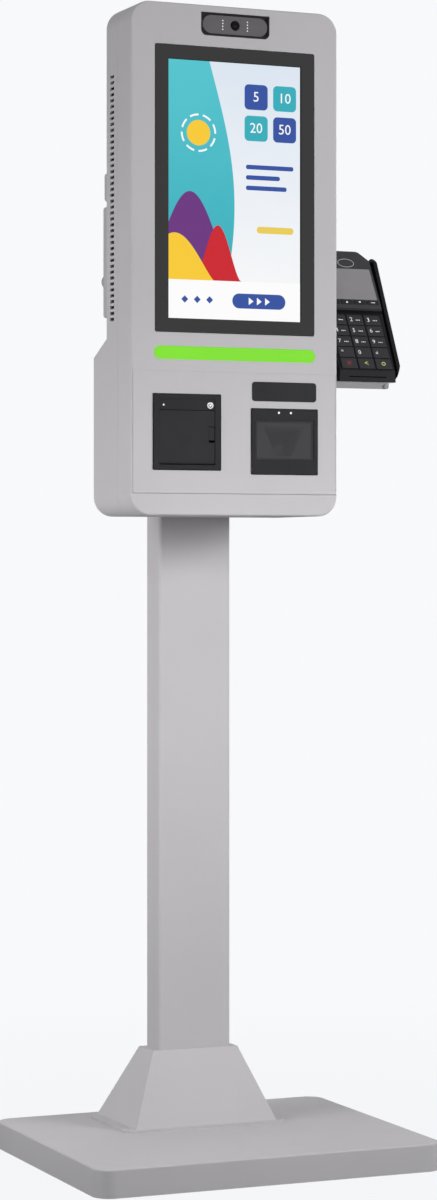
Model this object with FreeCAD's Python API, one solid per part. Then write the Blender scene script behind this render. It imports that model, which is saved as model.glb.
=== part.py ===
import FreeCAD, Part
import math
import os

V = FreeCAD.Vector
ORIGIN = V(0, 0, 0)
X_AXIS = V(1, 0, 0)
Y_AXIS = V(0, 1, 0)

# Floor-standing donation kiosk. Millimetres, +Z up, front towards -Y.
# The origin is on the floor, under the centre of the base.

# Clearances
seam_gap = 0.4
fit_gap = 0.3
run_gap = 0.08

# Base
base_width = 494.0
base_depth = 405.0
base_height = 38.0
base_corner = 24.0
base_edge = 2.5
base_sheet = 2.0
floor_gap = 1.0
pad_thick = 2.0
pad_inset = 8.0
ballast_thick = 12.0
anchor_span_x = 400.0
anchor_span_y = 310.0
anchor_hole_r = 5.5
cable_hole_r = 15.0
grommet_z = 25.0
grommet_bore_r = 4.5
grommet_neck_r = 7.0
grommet_flange_r = 9.0
grommet_flange = 2.0

# Foot plate, shroud and post
foot_width = 240.0
foot_depth = 151.0
foot_thick = 3.0
foot_corner = 16.0
foot_lead = 45.3
shroud_width = 208.0
shroud_depth = 145.0
shroud_lead = 42.3
shroud_top_width = 126.0
shroud_top = 140.0
shroud_sheet = 1.5
post_width = 106.0
post_depth = 48.0
post_wall = 2.5
post_corner = 4.0
post_top = 1068.0

# Bolts of the stand
bolt_r = 4.0
bolt_hole_r = 4.3
bolt_head_r = 7.5
bolt_head = 5.3
bolt_boss_r = 10.0
foot_bolt_span_x = 166.0
foot_bolt_span_y = 104.0
foot_bolt_reach = 33.0
head_bolt_span_x = 60.0
head_bolt_span_z = 120.0
head_bolt_z = 980.0
head_bolt_reach = 20.0
mount_plate_width = 100.0
mount_plate_height = 160.0
mount_plate_thick = 5.0

# Head housing
head_width = 300.6
head_bottom = 872.0
head_top = 1552.5
head_corner = 27.0
head_front = -69.6
shell_seam = -22.0
rear_upper = 21.5
rear_lower = 69.8
slope_bottom = 1086.0
slope_top = 1109.0
sheet = 2.0
front_edge = 2.5
rear_edge = 3.0
lip_reach = 8.0
lip_thick = 1.5

# Side vents
vent_count = 42
vent_pitch = 7.915
vent_top_z = 1459.5
vent_length = 14.5
vent_height = 4.2
vent_y = -0.8

# Touch screen
glass_width = 232.2
glass_height = 381.4
glass_z = 1306.0
glass_thick = 4.0
glass_corner = 3.0
lcd_width = 212.0
lcd_height = 362.0
lcd_thick = 9.0
frame_margin = 9.0
frame_sheet = 1.5
frame_window_width = 150.0
frame_window_height = 260.0
small_corner = 1.0

# Light bar
bar_width = 234.8
bar_height = 17.3
bar_z = 1088.0
bar_proud = 0.4
bar_lip = 4.0
bar_lip_thick = 1.4
led_count = 14
led_size = 5.0
led_height = 0.9
board_thick = 1.6

# Camera recess
camera_width = 99.8
camera_top = 1543.2
camera_height = 31.2
camera_corner = 8.0
camera_floor = 3.0
camera_body = 16.0
pill_width = 94.0
pill_height = 24.4
pill_rise = 2.0
lens_r = 6.4
lens_body_r = 5.4
lens_depth = 14.0
lens_proud = 0.5
lens_rim = 2.4
lens_rim_wall = 0.8
lens_bevel = 1.6
lamp_r = 0.8
lamp_column_x = 18.0
lamp_pitch = 3.9
lamp_rows = 4
lamp_depth = 2.5

# Lower front panel
panel_bottom = 900.85
panel_top = 1063.8
panel_bottom_seam = 0.7
panel_top_seam = 0.1
panel_ledge = 8.0
panel_corner = 1.0
ledge_thick = 1.5

# Receipt printer
printer_x = -70.3
printer_z = 982.9
printer_width = 98.6
printer_height = 101.8
bezel_rise = 1.6
bezel_edge = 0.8
bezel_corner = 1.5
printer_face = 0.8
printer_mouth_width = 80.6
printer_mouth_bottom = 939.2
printer_strip_bottom = 1012.3
printer_strip_top = 1027.2
strip_thick = 2.5
collar_wall = 2.6
printer_collar_depth = 22.0
hinge_r = 3.0
hinge_pin_r = 1.5
hinge_pin_length = 3.0
door_thick = 2.5
door_groove_rise = 0.7
door_groove_height = 0.6
door_groove_depth = 0.5
platen_r = 5.0
platen_shaft_r = 1.6
platen_z = 1003.5
platen_y = -60.4
platen_length = 58.0
ear_thick = 2.5
ear_r = 4.0
mechanism_width = 78.0
mechanism_back = -6.0
platen_clear = 2.0
head_slant = 3.0
head_inset = 1.0
roll_r = 24.0
roll_core_r = 6.0
roll_width = 57.0
roll_y = -33.0
roll_z = 970.5
bucket_gap = 1.2

# Latch lever of the printer door
lever_x = -35.0
lever_width = 7.8
lever_drop = 21.1
lever_height = 18.1
lever_pull = 2.8
lever_thick = 2.4
lever_pin_r = 1.0
lever_round_r = 2.0
lever_taper = 0.6
lever_wall_rim = 1.0

# Feed button and lamps
button_x = -37.2
button_z = 1018.6
button_r = 4.4
button_rise = 1.0
button_travel = 0.8
button_flange = 1.0
button_flange_reach = 1.0
button_round = 0.5
strip_lamp_x = -104.1
strip_lamp_r = 1.2

# Code scanner
scanner_x = 72.0
scanner_z = 972.0
scanner_width = 98.8
scanner_height = 89.2
window_width = 86.0
window_height = 54.2
window_z = 973.7
window_thick = 2.0
window_sink = 0.8
window_ledge = 3.0
window_corner = 1.0
scanner_collar_depth = 10.0
scanner_depth = 30.0
scanner_lens_z = 963.1
scanner_lens_r = 8.7
scanner_lens_sink = 19.3
scanner_eye_r = 4.0
scanner_eye_depth = 1.0
funnel_depth = 17.7
funnel_top = 994.2
funnel_top_half = 31.75
funnel_bottom = 953.0
funnel_bottom_half = 11.0
funnel_floor_half = 9.5
scanner_lamp_span = 17.7
scanner_lamp_z = 1010.9
scanner_lamp_r = 1.5

# Rear service door, its hinges and lock
door_left = -146.0
door_right = 140.0
door_bottom = 1140.0
door_top = 1290.0
door_depth = 21.5
door_sheet = 1.5
door_round = 4.0
door_overlap = 8.0
door_side_overlap = 6.0
rear_hinge_x = 143.6
rear_hinge_r = 2.8
rear_hinge_pin_r = 1.4
rear_knuckle = 16.0
rear_hinge_inset = 30.0
rear_hinge_rise = 3.2
rear_leaf_width = 6.4
rear_leaf_thick = 1.5
lock_x = -133.5
lock_z = 1189.5
knob_r = 11.3
knob_height = 12.7
knob_round = 2.0
knob_grip_width = 5.0
knob_grip_depth = 4.0
lock_shaft_r = 4.0
lock_hub_r = 5.2
cam_length = 12.8
cam_width = 9.0
cam_thick = 2.0

# Aerial cover on the rear
aerial_width = 292.0
aerial_bottom = 1297.0
aerial_top = 1335.0
aerial_depth = 18.0
aerial_wall = 2.0

# Computer and power supply
computer_width = 180.0
computer_height = 110.0
computer_z = 1215.0
computer_case = 26.0
fin_count = 15
fin_height = 9.0
fin_thick = 2.0
supply_width = 62.0
supply_height = 120.0
supply_depth = 34.0
supply_x = 100.0
supply_z = 960.0
supply_slot_count = 9
supply_slot_depth = 3.0

# Housing screws
screw_r = 2.0
screw_head_r = 3.8
screw_head = 2.2
screw_span = 200.0
screw_reach = 6.0
lip_screw_head_r = 3.1
lip_screw_inset = 4.8

# Payment terminal
terminal_tilt = 30.0
terminal_x = 217.5
terminal_y = -30.5
terminal_z = 1076.1
key_pitch_x = 26.3
key_pitch_v = 18.15
key_width = 24.6
key_length = 16.4
key_level = -4.0
key_first_v = 11.0
key_corner = 2.0
key_rise = 1.8
key_travel = 1.2
key_bevel = 0.7
key_flange = 0.5
key_flange_thick = 1.0
cover_wall = 2.5
cover_depth = 14.0
chin_v = 0.3
chin_drop = 15.7
bottom_run = 20.0
step_v = 96.0
step_run = 1.7
bezel_level = 5.0
terminal_top_v = 196.0
top_bevel_run = 3.0
top_bevel_drop = 2.0
top_corner_v = 179.0
top_half = 25.0
face_half_top = 41.8
face_half_bottom = 40.5
seam_half_top = 50.0
seam_half_bottom = 43.5
back_half = 43.0
back_level = 42.0
grip_level = 30.0
grip_v = 30.0
hump_v = 95.0
back_chamfer = 6.0
display_width = 77.4
display_length = 52.5
display_v = 138.6
display_thick = 2.0
display_ledge = 3.0
display_corner = 1.5
soft_key_width = 18.4
soft_key_length = 6.6
soft_key_pitch = 20.1
soft_key_v = 107.6
soft_key_rise = 0.8
soft_key_corner = 1.0
soft_key_margin = 2.0
rail_wall = 5.5
rail_slot = 1.6
rail_top_level = -4.0
rail_slot_depth = 13.0
rail_floor = 5.0
rail_groove_end = 184.0
rail_inner_x = 40.0
rail_foot = (43.5, -12.0)
rail_low = (52.0, 9.0)
rail_high = (58.9, 180.0)
rail_shoulder = (57.9, 185.9)
rail_peak = (53.4, 189.7)
rail_round = (49.6, 188.9)
rail_tip = (47.0, 185.4)
card_slot_width = 56.0
card_slot_height = 1.4
card_slot_depth = 9.0
card_slot_drop = 9.0

# Terminal bracket
bracket_left = 158.0
bracket_right = 248.0
bracket_sheet = 3.0
bracket_lip = 9.4
bracket_bend_r = 2.5
bracket_corner = 3.5
bracket_back_left = 176.0
bracket_back_right = 240.0
bracket_back_v = 150.0
flange_front = -58.0
flange_back = 14.0
flange_bottom = 1036.0
flange_top = 1120.0
arm_front = -26.0
flange_screw_span_y = 48.0
flange_screw_span_z = 60.0

# Derived places
ballast_top = pad_thick + ballast_thick
foot_bottom = base_height
foot_top = foot_bottom + foot_thick
post_front = rear_lower
post_y = post_front + post_depth / 2
foot_front = post_front - foot_lead
foot_y = foot_front + foot_depth / 2
shroud_front = post_front - shroud_lead
shroud_y = shroud_front + shroud_depth / 2
head_height = head_top - head_bottom
head_z = head_bottom + head_height / 2
inner_front = head_front + sheet
rear_front = shell_seam + seam_gap
side_x = head_width / 2
glass_back = head_front + glass_thick
lcd_back = glass_back + lcd_thick
frame_back = lcd_back + frame_sheet
camera_z = camera_top - camera_height / 2
panel_width = head_width - 2 * front_edge
opening_width = panel_width + 2 * seam_gap
opening_height = panel_top - panel_bottom
opening_z = panel_bottom + opening_height / 2
panel_low = panel_bottom + panel_bottom_seam
panel_high = panel_top - panel_top_seam
printer_front = head_front - printer_face
mouth_height = printer_strip_bottom - printer_mouth_bottom
mouth_z = printer_mouth_bottom + mouth_height / 2
hinge_y = printer_front + hinge_r
hinge_z = printer_mouth_bottom + hinge_r + seam_gap
door_width = printer_mouth_width - 2 * seam_gap
door_panel_top = printer_strip_bottom - 2 * seam_gap
lever_top = door_panel_top - lever_drop
bezel_front = head_front - bezel_rise
window_front = bezel_front + window_sink
window_back = window_front + window_thick
rear_door_width = door_right - door_left
rear_door_x = (door_left + door_right) / 2
rear_door_height = door_top - door_bottom
rear_door_z = (door_bottom + door_top) / 2
rear_door_back = rear_upper + seam_gap + door_depth
rear_hinge_y = rear_upper + rear_hinge_rise
computer_back = frame_back + computer_case
tilt = math.radians(terminal_tilt)
seam_level = -cover_depth
chin_top = (chin_v, key_level)
board_drop = 2 * fit_gap + key_flange_thick + key_travel
rail_floor_level = rail_top_level - rail_slot_depth
rail_slope = (rail_high[0] - rail_low[0]) / (rail_high[1] - rail_low[1])


def outline(width, height, radius):
    """Rectangle with round corners, centred on the origin in the XY plane."""
    a = width / 2
    b = height / 2
    if radius <= 0:
        corners = [V(-a, -b, 0), V(a, -b, 0), V(a, b, 0), V(-a, b, 0), V(-a, -b, 0)]
        return Part.makePolygon(corners)
    r = min(radius, a, b)
    k = r * (1 - math.sqrt(0.5))
    starts = [V(-a, -b + r, 0), V(a - r, -b, 0), V(a, b - r, 0), V(-a + r, b, 0)]
    middles = [V(-a + k, -b + k, 0), V(a - k, -b + k, 0), V(a - k, b - k, 0), V(-a + k, b - k, 0)]
    ends = [V(-a + r, -b, 0), V(a, -b + r, 0), V(a - r, b, 0), V(-a, b - r, 0)]
    edges = []
    for i in range(4):
        edges.append(Part.Arc(starts[i], middles[i], ends[i]).toShape())
        following = starts[(i + 1) % 4]
        if ends[i].distanceToPoint(following) > 1e-6:
            edges.append(Part.LineSegment(ends[i], following).toShape())
    return Part.Wire(edges)


def block(width, depth, height, radius, x, y, z):
    """Upright block with round vertical corners, standing on z."""
    solid = Part.Face(outline(width, depth, radius)).extrude(V(0, 0, height))
    solid.translate(V(x, y, z))
    return solid


def facing(width, height, radius, x, z, front, back):
    """Plate that faces the front, from y = front to y = back."""
    solid = Part.Face(outline(width, height, radius)).extrude(V(0, 0, back - front))
    solid.rotate(ORIGIN, X_AXIS, 90)
    solid.translate(V(x, back, z))
    return solid


def rod_y(radius, x, z, front, back):
    return Part.makeCylinder(radius, back - front, V(x, front, z), Y_AXIS)


def rod_x(radius, y, z, left, right):
    return Part.makeCylinder(radius, right - left, V(left, y, z), X_AXIS)


def rod_z(radius, x, y, bottom, top):
    return Part.makeCylinder(radius, top - bottom, V(x, y, bottom))


def profile_x(points, left, right):
    """Solid with a side profile of (y, z) points, from x = left to x = right."""
    corners = [V(left, y, z) for y, z in points]
    corners.append(corners[0])
    return Part.Face(Part.makePolygon(corners)).extrude(V(right - left, 0, 0))


def grid(span_a, span_b):
    """The four corners of a rectangular hole pattern."""
    return [(a * span_a / 2, b * span_b / 2) for a in (-1, 1) for b in (-1, 1)]


def hexagon(radius, height):
    corners = [V(radius * math.cos(math.pi * i / 3), radius * math.sin(math.pi * i / 3), 0) for i in range(7)]
    return Part.Face(Part.makePolygon(corners)).extrude(V(0, 0, height))


def edges_in_plane(shape, axis, value):
    """Edges that lie wholly in the plane where the given coordinate has this value."""
    found = []
    for edge in shape.Edges:
        box = edge.BoundBox
        low = (box.XMin, box.YMin, box.ZMin)[axis]
        high = (box.XMax, box.YMax, box.ZMax)[axis]
        if abs(low - value) < 1e-3 and abs(high - value) < 1e-3:
            found.append(edge)
    return found


# Base and stand

def ballast_outline(inset):
    margin = base_sheet + fit_gap + inset
    return base_width - 2 * margin, base_depth - 2 * margin, base_corner - margin


def anchor_holes(bottom, top):
    return [rod_z(anchor_hole_r, x, y, bottom, top) for x, y in grid(anchor_span_x, anchor_span_y)]


def foot_bolt_places():
    return [(x, shroud_y + y) for x, y in grid(foot_bolt_span_x, foot_bolt_span_y)]


def floor_pad():
    width, depth, corner = ballast_outline(pad_inset)
    solid = block(width, depth, pad_thick, corner, 0, 0, 0)
    return solid.cut(anchor_holes(0, pad_thick))


def ballast_plate():
    width, depth, corner = ballast_outline(0)
    solid = block(width, depth, ballast_thick, corner, 0, 0, pad_thick)
    solid = solid.cut(anchor_holes(pad_thick, ballast_top))
    boss_top = base_height - base_sheet
    for x, y in foot_bolt_places():
        solid = solid.fuse(rod_z(bolt_boss_r, x, y, ballast_top, boss_top))
        solid = solid.cut(rod_z(bolt_hole_r, x, y, pad_thick, boss_top))
    return solid


def base_cover():
    height = base_height - floor_gap
    solid = block(base_width, base_depth, height, base_corner, 0, 0, floor_gap)
    solid = solid.makeFillet(base_edge, edges_in_plane(solid, 2, base_height))
    inner = block(base_width - 2 * base_sheet, base_depth - 2 * base_sheet, height - base_sheet,
                  base_corner - base_sheet, 0, 0, floor_gap)
    solid = solid.cut(inner)
    solid = solid.cut(rod_z(cable_hole_r, 0, post_y, floor_gap, base_height))
    for x, y in foot_bolt_places():
        solid = solid.cut(rod_z(bolt_hole_r, x, y, floor_gap, base_height))
    return solid.cut(rod_y(grommet_neck_r, 0, grommet_z, 0, base_depth))


def cable_grommet():
    wall_out = base_depth / 2
    wall_in = wall_out - base_sheet
    solid = rod_y(grommet_neck_r, 0, grommet_z, wall_in, wall_out)
    solid = solid.fuse(rod_y(grommet_flange_r, 0, grommet_z, wall_in - grommet_flange, wall_in))
    dome = Part.makeCone(grommet_flange_r, grommet_neck_r, grommet_flange, V(0, wall_out, grommet_z), Y_AXIS)
    solid = solid.fuse(dome)
    return solid.cut(rod_y(grommet_bore_r, 0, grommet_z, 0, base_depth))


def foot_plate():
    solid = block(foot_width, foot_depth, foot_thick, foot_corner, 0, foot_y, foot_bottom)
    solid = solid.cut(rod_z(cable_hole_r, 0, post_y, foot_bottom, foot_top))
    for x, y in foot_bolt_places():
        solid = solid.cut(rod_z(bolt_hole_r, x, y, foot_bottom, foot_top))
    return solid


def post_cone():
    """Pyramid shroud of folded sheet, open below, with the post's hole in its top."""
    margin = shroud_sheet + fit_gap
    top_depth = post_depth + 2 * margin

    def pyramid(inset, lift):
        bottom = outline(shroud_width - 2 * inset, shroud_depth - 2 * inset, 0)
        bottom.translate(V(0, shroud_y, foot_top))
        top = outline(shroud_top_width - 2 * inset, top_depth - 2 * inset, 0)
        top.translate(V(0, post_y, shroud_top - lift))
        return Part.makeLoft([bottom, top], True, True)

    hole = block(post_width + 2 * fit_gap, post_depth + 2 * fit_gap, shroud_top - foot_top,
                 post_corner + fit_gap, 0, post_y, foot_top)
    return pyramid(0, 0).cut(pyramid(shroud_sheet, shroud_sheet)).cut(hole)


def head_bolt_places():
    return [(x, head_bolt_z + z) for x, z in grid(head_bolt_span_x, head_bolt_span_z)]


def post():
    solid = block(post_width, post_depth, post_top - foot_top, post_corner, 0, post_y, foot_top)
    bore = block(post_width - 2 * post_wall, post_depth - 2 * post_wall, post_top - post_wall - foot_top,
                 post_corner - post_wall, 0, post_y, foot_top)
    solid = solid.cut(bore)
    for x, z in head_bolt_places():
        solid = solid.cut(rod_y(bolt_hole_r, x, z, post_front, post_front + post_wall))
    return solid.cut(rod_y(cable_hole_r, 0, head_bolt_z, post_front, post_front + post_wall))


def mount_plate():
    """Stiffening plate inside the housing, behind which the post is bolted."""
    back = rear_lower - sheet
    solid = facing(mount_plate_width, mount_plate_height, post_corner, 0, head_bolt_z,
                   back - mount_plate_thick, back)
    for x, z in head_bolt_places():
        solid = solid.cut(rod_y(bolt_hole_r, x, z, back - mount_plate_thick, back))
    return solid.cut(rod_y(cable_hole_r, 0, head_bolt_z, back - mount_plate_thick, back))


def bolt(length):
    """Hexagon bolt, head above z = 0 and shank below."""
    return hexagon(bolt_head_r, bolt_head).fuse(rod_z(bolt_r, 0, 0, -length, 0))


def stand_bolts():
    bolts = []
    for x, y in foot_bolt_places():
        one = bolt(foot_bolt_reach)
        one.translate(V(x, y, foot_top))
        bolts.append(one)
    for x, z in head_bolt_places():
        one = bolt(head_bolt_reach)
        one.rotate(ORIGIN, X_AXIS, 90)
        one.translate(V(x, rear_lower - sheet - mount_plate_thick, z))
        bolts.append(one)
    return Part.makeCompound(bolts)


# Head housing

def head_block(inset, front, back):
    """The housing's front-view outline, drawn in by an inset, between two depths."""
    return facing(head_width - 2 * inset, head_height - 2 * inset, head_corner - inset, 0, head_z, front, back)


def camera_cutout(margin, front, back):
    """Recess outline with round lower corners and square upper ones."""
    width = camera_width + 2 * margin
    height = camera_height + 2 * margin
    solid = facing(width, height, camera_corner + margin, 0, camera_z, front, back)
    upper = facing(width, height / 2, 0, 0, camera_z + height / 4, front, back)
    return solid.fuse(upper).removeSplitter()


def front_shell():
    solid = head_block(0, head_front, shell_seam)
    solid = solid.makeFillet(front_edge, edges_in_plane(solid, 1, head_front))
    solid = solid.cut(head_block(sheet, inner_front, shell_seam))
    ledge_back = inner_front + ledge_thick
    ledge = facing(head_width - 2 * sheet, opening_height + 2 * panel_ledge, 0, 0, opening_z,
                   inner_front, ledge_back)
    ledge = ledge.cut(facing(opening_width - 2 * panel_ledge, opening_height - 2 * panel_ledge, 0, 0,
                             opening_z, inner_front, ledge_back))
    solid = solid.fuse(ledge)
    solid = solid.cut(facing(opening_width, opening_height, panel_corner, 0, opening_z,
                             head_front, inner_front))
    solid = solid.cut(facing(glass_width + 2 * seam_gap, glass_height + 2 * seam_gap, glass_corner, 0, glass_z,
                             head_front, inner_front))
    solid = solid.cut(facing(bar_width + 2 * fit_gap, bar_height + 2 * fit_gap, bar_height, 0, bar_z,
                             head_front, inner_front))
    solid = solid.cut(camera_cutout(0, head_front, inner_front))
    for place in housing_screw_places():
        solid = solid.cut(countersink(place))
    return solid.cut(flange_screw_holes())


def side_profile(inset):
    """Side view of the rear housing as (y, z) points, drawn in by an inset."""
    bottom = head_bottom + inset
    top = head_top - inset
    lower = rear_lower - inset
    upper = rear_upper - inset
    run = rear_lower - rear_upper
    rise = slope_top - slope_bottom
    shift = inset * math.hypot(run, rise) / run
    slope = rise / run
    low_z = slope_bottom - shift + slope * inset
    high_z = low_z + slope * (lower - upper)
    return [(rear_front, bottom), (lower, bottom), (lower, low_z), (upper, high_z), (upper, top),
            (rear_front, top)]


def rear_body(inset):
    solid = head_block(inset, rear_front, rear_lower)
    return solid.common(profile_x(side_profile(inset), -side_x, side_x))


def rear_opening(front, back):
    left = door_left + door_side_overlap
    right = door_right - door_side_overlap
    bottom = door_bottom + door_overlap
    top = door_top - door_overlap
    return facing(right - left, top - bottom, door_round, (left + right) / 2, (bottom + top) / 2, front, back)


def rear_shell():
    solid = rear_body(0)
    bends = edges_in_plane(solid, 1, rear_upper) + edges_in_plane(solid, 1, rear_lower)
    solid = solid.makeFillet(rear_edge, bends)
    solid = solid.cut(rear_body(sheet))
    lip_inset = sheet + fit_gap
    lip = head_block(lip_inset, shell_seam - lip_reach, rear_front)
    lip = lip.cut(head_block(lip_inset + lip_thick, shell_seam - lip_reach, rear_front))
    bridge = head_block(sheet, rear_front, rear_front + sheet)
    bridge = bridge.cut(head_block(lip_inset + lip_thick, rear_front, rear_front + sheet))
    solid = solid.fuse([lip, bridge])
    solid = solid.cut(rear_opening(0, rear_upper))
    slots = []
    for i in range(vent_count):
        slot = Part.makeBox(head_width, vent_length, vent_height)
        slot.translate(V(-side_x, vent_y - vent_length / 2, vent_top_z - vent_pitch * i - vent_height / 2))
        slots.append(slot)
    solid = solid.cut(Part.makeCompound(slots))
    for x, z in head_bolt_places():
        solid = solid.cut(rod_y(bolt_hole_r, x, z, rear_lower - sheet, rear_lower))
    solid = solid.cut(rod_y(cable_hole_r, 0, head_bolt_z, rear_lower - sheet, rear_lower))
    for place in housing_screw_places():
        solid = solid.cut(screw_shank(place, fit_gap))
    return solid.cut(flange_screw_holes())


# Screws that join the two housing halves, at the top and the underside

def housing_screw_places():
    """Each place is (x, z of the outer face, inward direction along z)."""
    return [(x, z, inward) for z, inward in ((head_bottom, 1), (head_top, -1))
            for x in (-screw_span / 2, screw_span / 2)]


def screw_y():
    return shell_seam - lip_reach / 2


def countersink(place):
    x, z, inward = place
    direction = V(0, 0, inward)
    hole = Part.makeCylinder(screw_r + fit_gap, sheet, V(x, screw_y(), z), direction)
    cone = Part.makeCone(screw_head_r + fit_gap, screw_r + fit_gap, sheet, V(x, screw_y(), z), direction)
    return hole.fuse(cone)


def screw_shank(place, gap):
    x, z, inward = place
    return Part.makeCylinder(screw_r + gap, screw_reach + sheet, V(x, screw_y(), z), V(0, 0, inward))


def flange_screw_holes():
    """Holes through the housing's right side for the terminal bracket."""
    return [rod_x(screw_r + fit_gap, y, z, side_x - sheet, side_x) for y, z in flange_screw_places()]


def case_screws():
    screws = []
    for place in housing_screw_places():
        x, z, inward = place
        head = Part.makeCone(screw_head_r, screw_r, sheet, V(x, screw_y(), z), V(0, 0, inward))
        screws.append(head.fuse(screw_shank(place, 0)))
    for y, z in flange_screw_places():
        start = V(side_x + bracket_sheet, y, z)
        head = Part.makeCylinder(screw_head_r, screw_head, start, X_AXIS)
        screws.append(head.fuse(Part.makeCylinder(screw_r, screw_reach + bracket_sheet, start, V(-1, 0, 0))))
    for x in lip_screw_places():
        start = V(x, terminal_y, lip_screw_z())
        head = Part.makeCylinder(lip_screw_head_r, screw_head, start, V(0, -1, 0))
        screws.append(head.fuse(Part.makeCylinder(screw_r, screw_reach, start, Y_AXIS)))
    return Part.makeCompound(screws)


# Touch screen

def screen_glass():
    return facing(glass_width, glass_height, glass_corner, 0, glass_z, head_front, glass_back)


def lcd_panel():
    return facing(lcd_width, lcd_height, small_corner, 0, glass_z, glass_back, lcd_back)


def screen_frame():
    """Folded tray that clamps the display against the inside of the front housing."""
    width = glass_width + 2 * frame_margin
    height = glass_height + 2 * frame_margin
    solid = facing(width, height, glass_corner, 0, glass_z, inner_front, frame_back)
    tray = facing(width - 2 * frame_sheet, height - 2 * frame_sheet, glass_corner - frame_sheet, 0, glass_z,
                  inner_front, lcd_back)
    window = facing(frame_window_width, frame_window_height, glass_corner, 0, glass_z, lcd_back, frame_back)
    return solid.cut(tray).cut(window)


# Light bar

def light_bar():
    solid = facing(bar_width, bar_height, bar_height, 0, bar_z, head_front - bar_proud, inner_front)
    lip = facing(bar_width + 2 * bar_lip, bar_height + 2 * bar_lip, bar_height, 0, bar_z,
                 inner_front, inner_front + bar_lip_thick)
    return solid.fuse(lip)


def light_board():
    led_front = inner_front + bar_lip_thick
    board_front = led_front + led_height
    solid = facing(bar_width, bar_height, small_corner, 0, bar_z, board_front, board_front + board_thick)
    pitch = (bar_width - bar_height) / (led_count - 1)
    for i in range(led_count):
        x = (i - (led_count - 1) / 2) * pitch
        solid = solid.fuse(facing(led_size, led_size, 0, x, bar_z, led_front, board_front))
    return solid


# Camera

def lamp_places():
    """Two columns of small lamps beside the camera's lens."""
    rows = [(i - (lamp_rows - 1) / 2) * lamp_pitch for i in range(lamp_rows)]
    return [(x, camera_z + z) for x in (-lamp_column_x, lamp_column_x) for z in rows]


def camera_face():
    return head_front + camera_floor - pill_rise


def camera_housing():
    floor = head_front + camera_floor
    back = floor + camera_body
    solid = camera_cutout(-fit_gap, head_front, inner_front)
    solid = solid.cut(camera_cutout(-sheet, head_front, floor))
    solid = solid.fuse(camera_cutout(bar_lip / 2, inner_front, back))
    solid = solid.cut(camera_cutout(-sheet, head_front, floor))
    pill = facing(pill_width, pill_height, pill_height, 0, camera_z, camera_face(), floor)
    solid = solid.fuse(pill)
    solid = solid.cut(rod_y(lens_body_r + fit_gap, 0, camera_z, camera_face(), camera_face() + lens_depth))
    solid = solid.cut(rod_y(lens_r + fit_gap, 0, camera_z, camera_face(), floor))
    for x, z in lamp_places():
        solid = solid.cut(rod_y(lamp_r + run_gap, x, z, camera_face(), camera_face() + lamp_depth))
    return solid


def camera_lens():
    """Lens barrel with a domed front, made as one turned piece."""
    face = camera_face()
    front = face - lens_proud
    floor = face + pill_rise
    dome_r = lens_r - lens_rim
    rim = rod_y(lens_r, 0, camera_z, front, floor)
    rim = rim.cut(Part.makeCone(lens_r - lens_rim_wall, dome_r, lens_bevel, V(0, front, camera_z), Y_AXIS))
    barrel = rod_y(lens_body_r, 0, camera_z, floor, face + lens_depth - fit_gap)
    dome = Part.makeSphere(dome_r, V(0, face + dome_r, camera_z))
    return rim.fuse(barrel).fuse(dome.common(rod_y(dome_r, 0, camera_z, face, face + dome_r)))


def indicator_lights():
    lamps = []
    for x, z in lamp_places():
        lamps.append(rod_y(lamp_r, x, z, camera_face(), camera_face() + lamp_depth))
    back = printer_front + strip_thick
    lamps.append(rod_y(strip_lamp_r, strip_lamp_x, button_z, printer_front, back))
    for side in (-1, 1):
        x = scanner_x + side * scanner_lamp_span / 2
        lamps.append(rod_y(scanner_lamp_r, x, scanner_lamp_z, bezel_front, inner_front))
    return Part.makeCompound(lamps)


# Lower front panel with the printer and the scanner

def collar_opening(x, z, width, height):
    return facing(width + 2 * fit_gap, height + 2 * fit_gap, bezel_corner, x, z, head_front, inner_front)


def printer_collar():
    """Centre z, width and height of the collar that passes through the panel."""
    top = printer_strip_top + collar_wall
    bottom = printer_mouth_bottom - collar_wall
    return (top + bottom) / 2, printer_mouth_width + 2 * collar_wall, top - bottom


def scanner_collar():
    return window_width + 2 * window_ledge, window_height + 2 * window_ledge


def peripheral_panel():
    solid = facing(panel_width, panel_high - panel_low, panel_corner - seam_gap, 0,
                   (panel_low + panel_high) / 2, head_front, inner_front)
    z, width, height = printer_collar()
    solid = solid.cut(collar_opening(printer_x, z, width, height))
    width, height = scanner_collar()
    solid = solid.cut(collar_opening(scanner_x, window_z, width, height))
    for side in (-1, 1):
        x = scanner_x + side * scanner_lamp_span / 2
        solid = solid.cut(rod_y(scanner_lamp_r + fit_gap, x, scanner_lamp_z, head_front, inner_front))
    return solid


def bezel_flange(x, z, width, height):
    flange = facing(width, height, bezel_corner, x, z, bezel_front, head_front)
    return flange.makeChamfer(bezel_edge, edges_in_plane(flange, 1, bezel_front))


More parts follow.
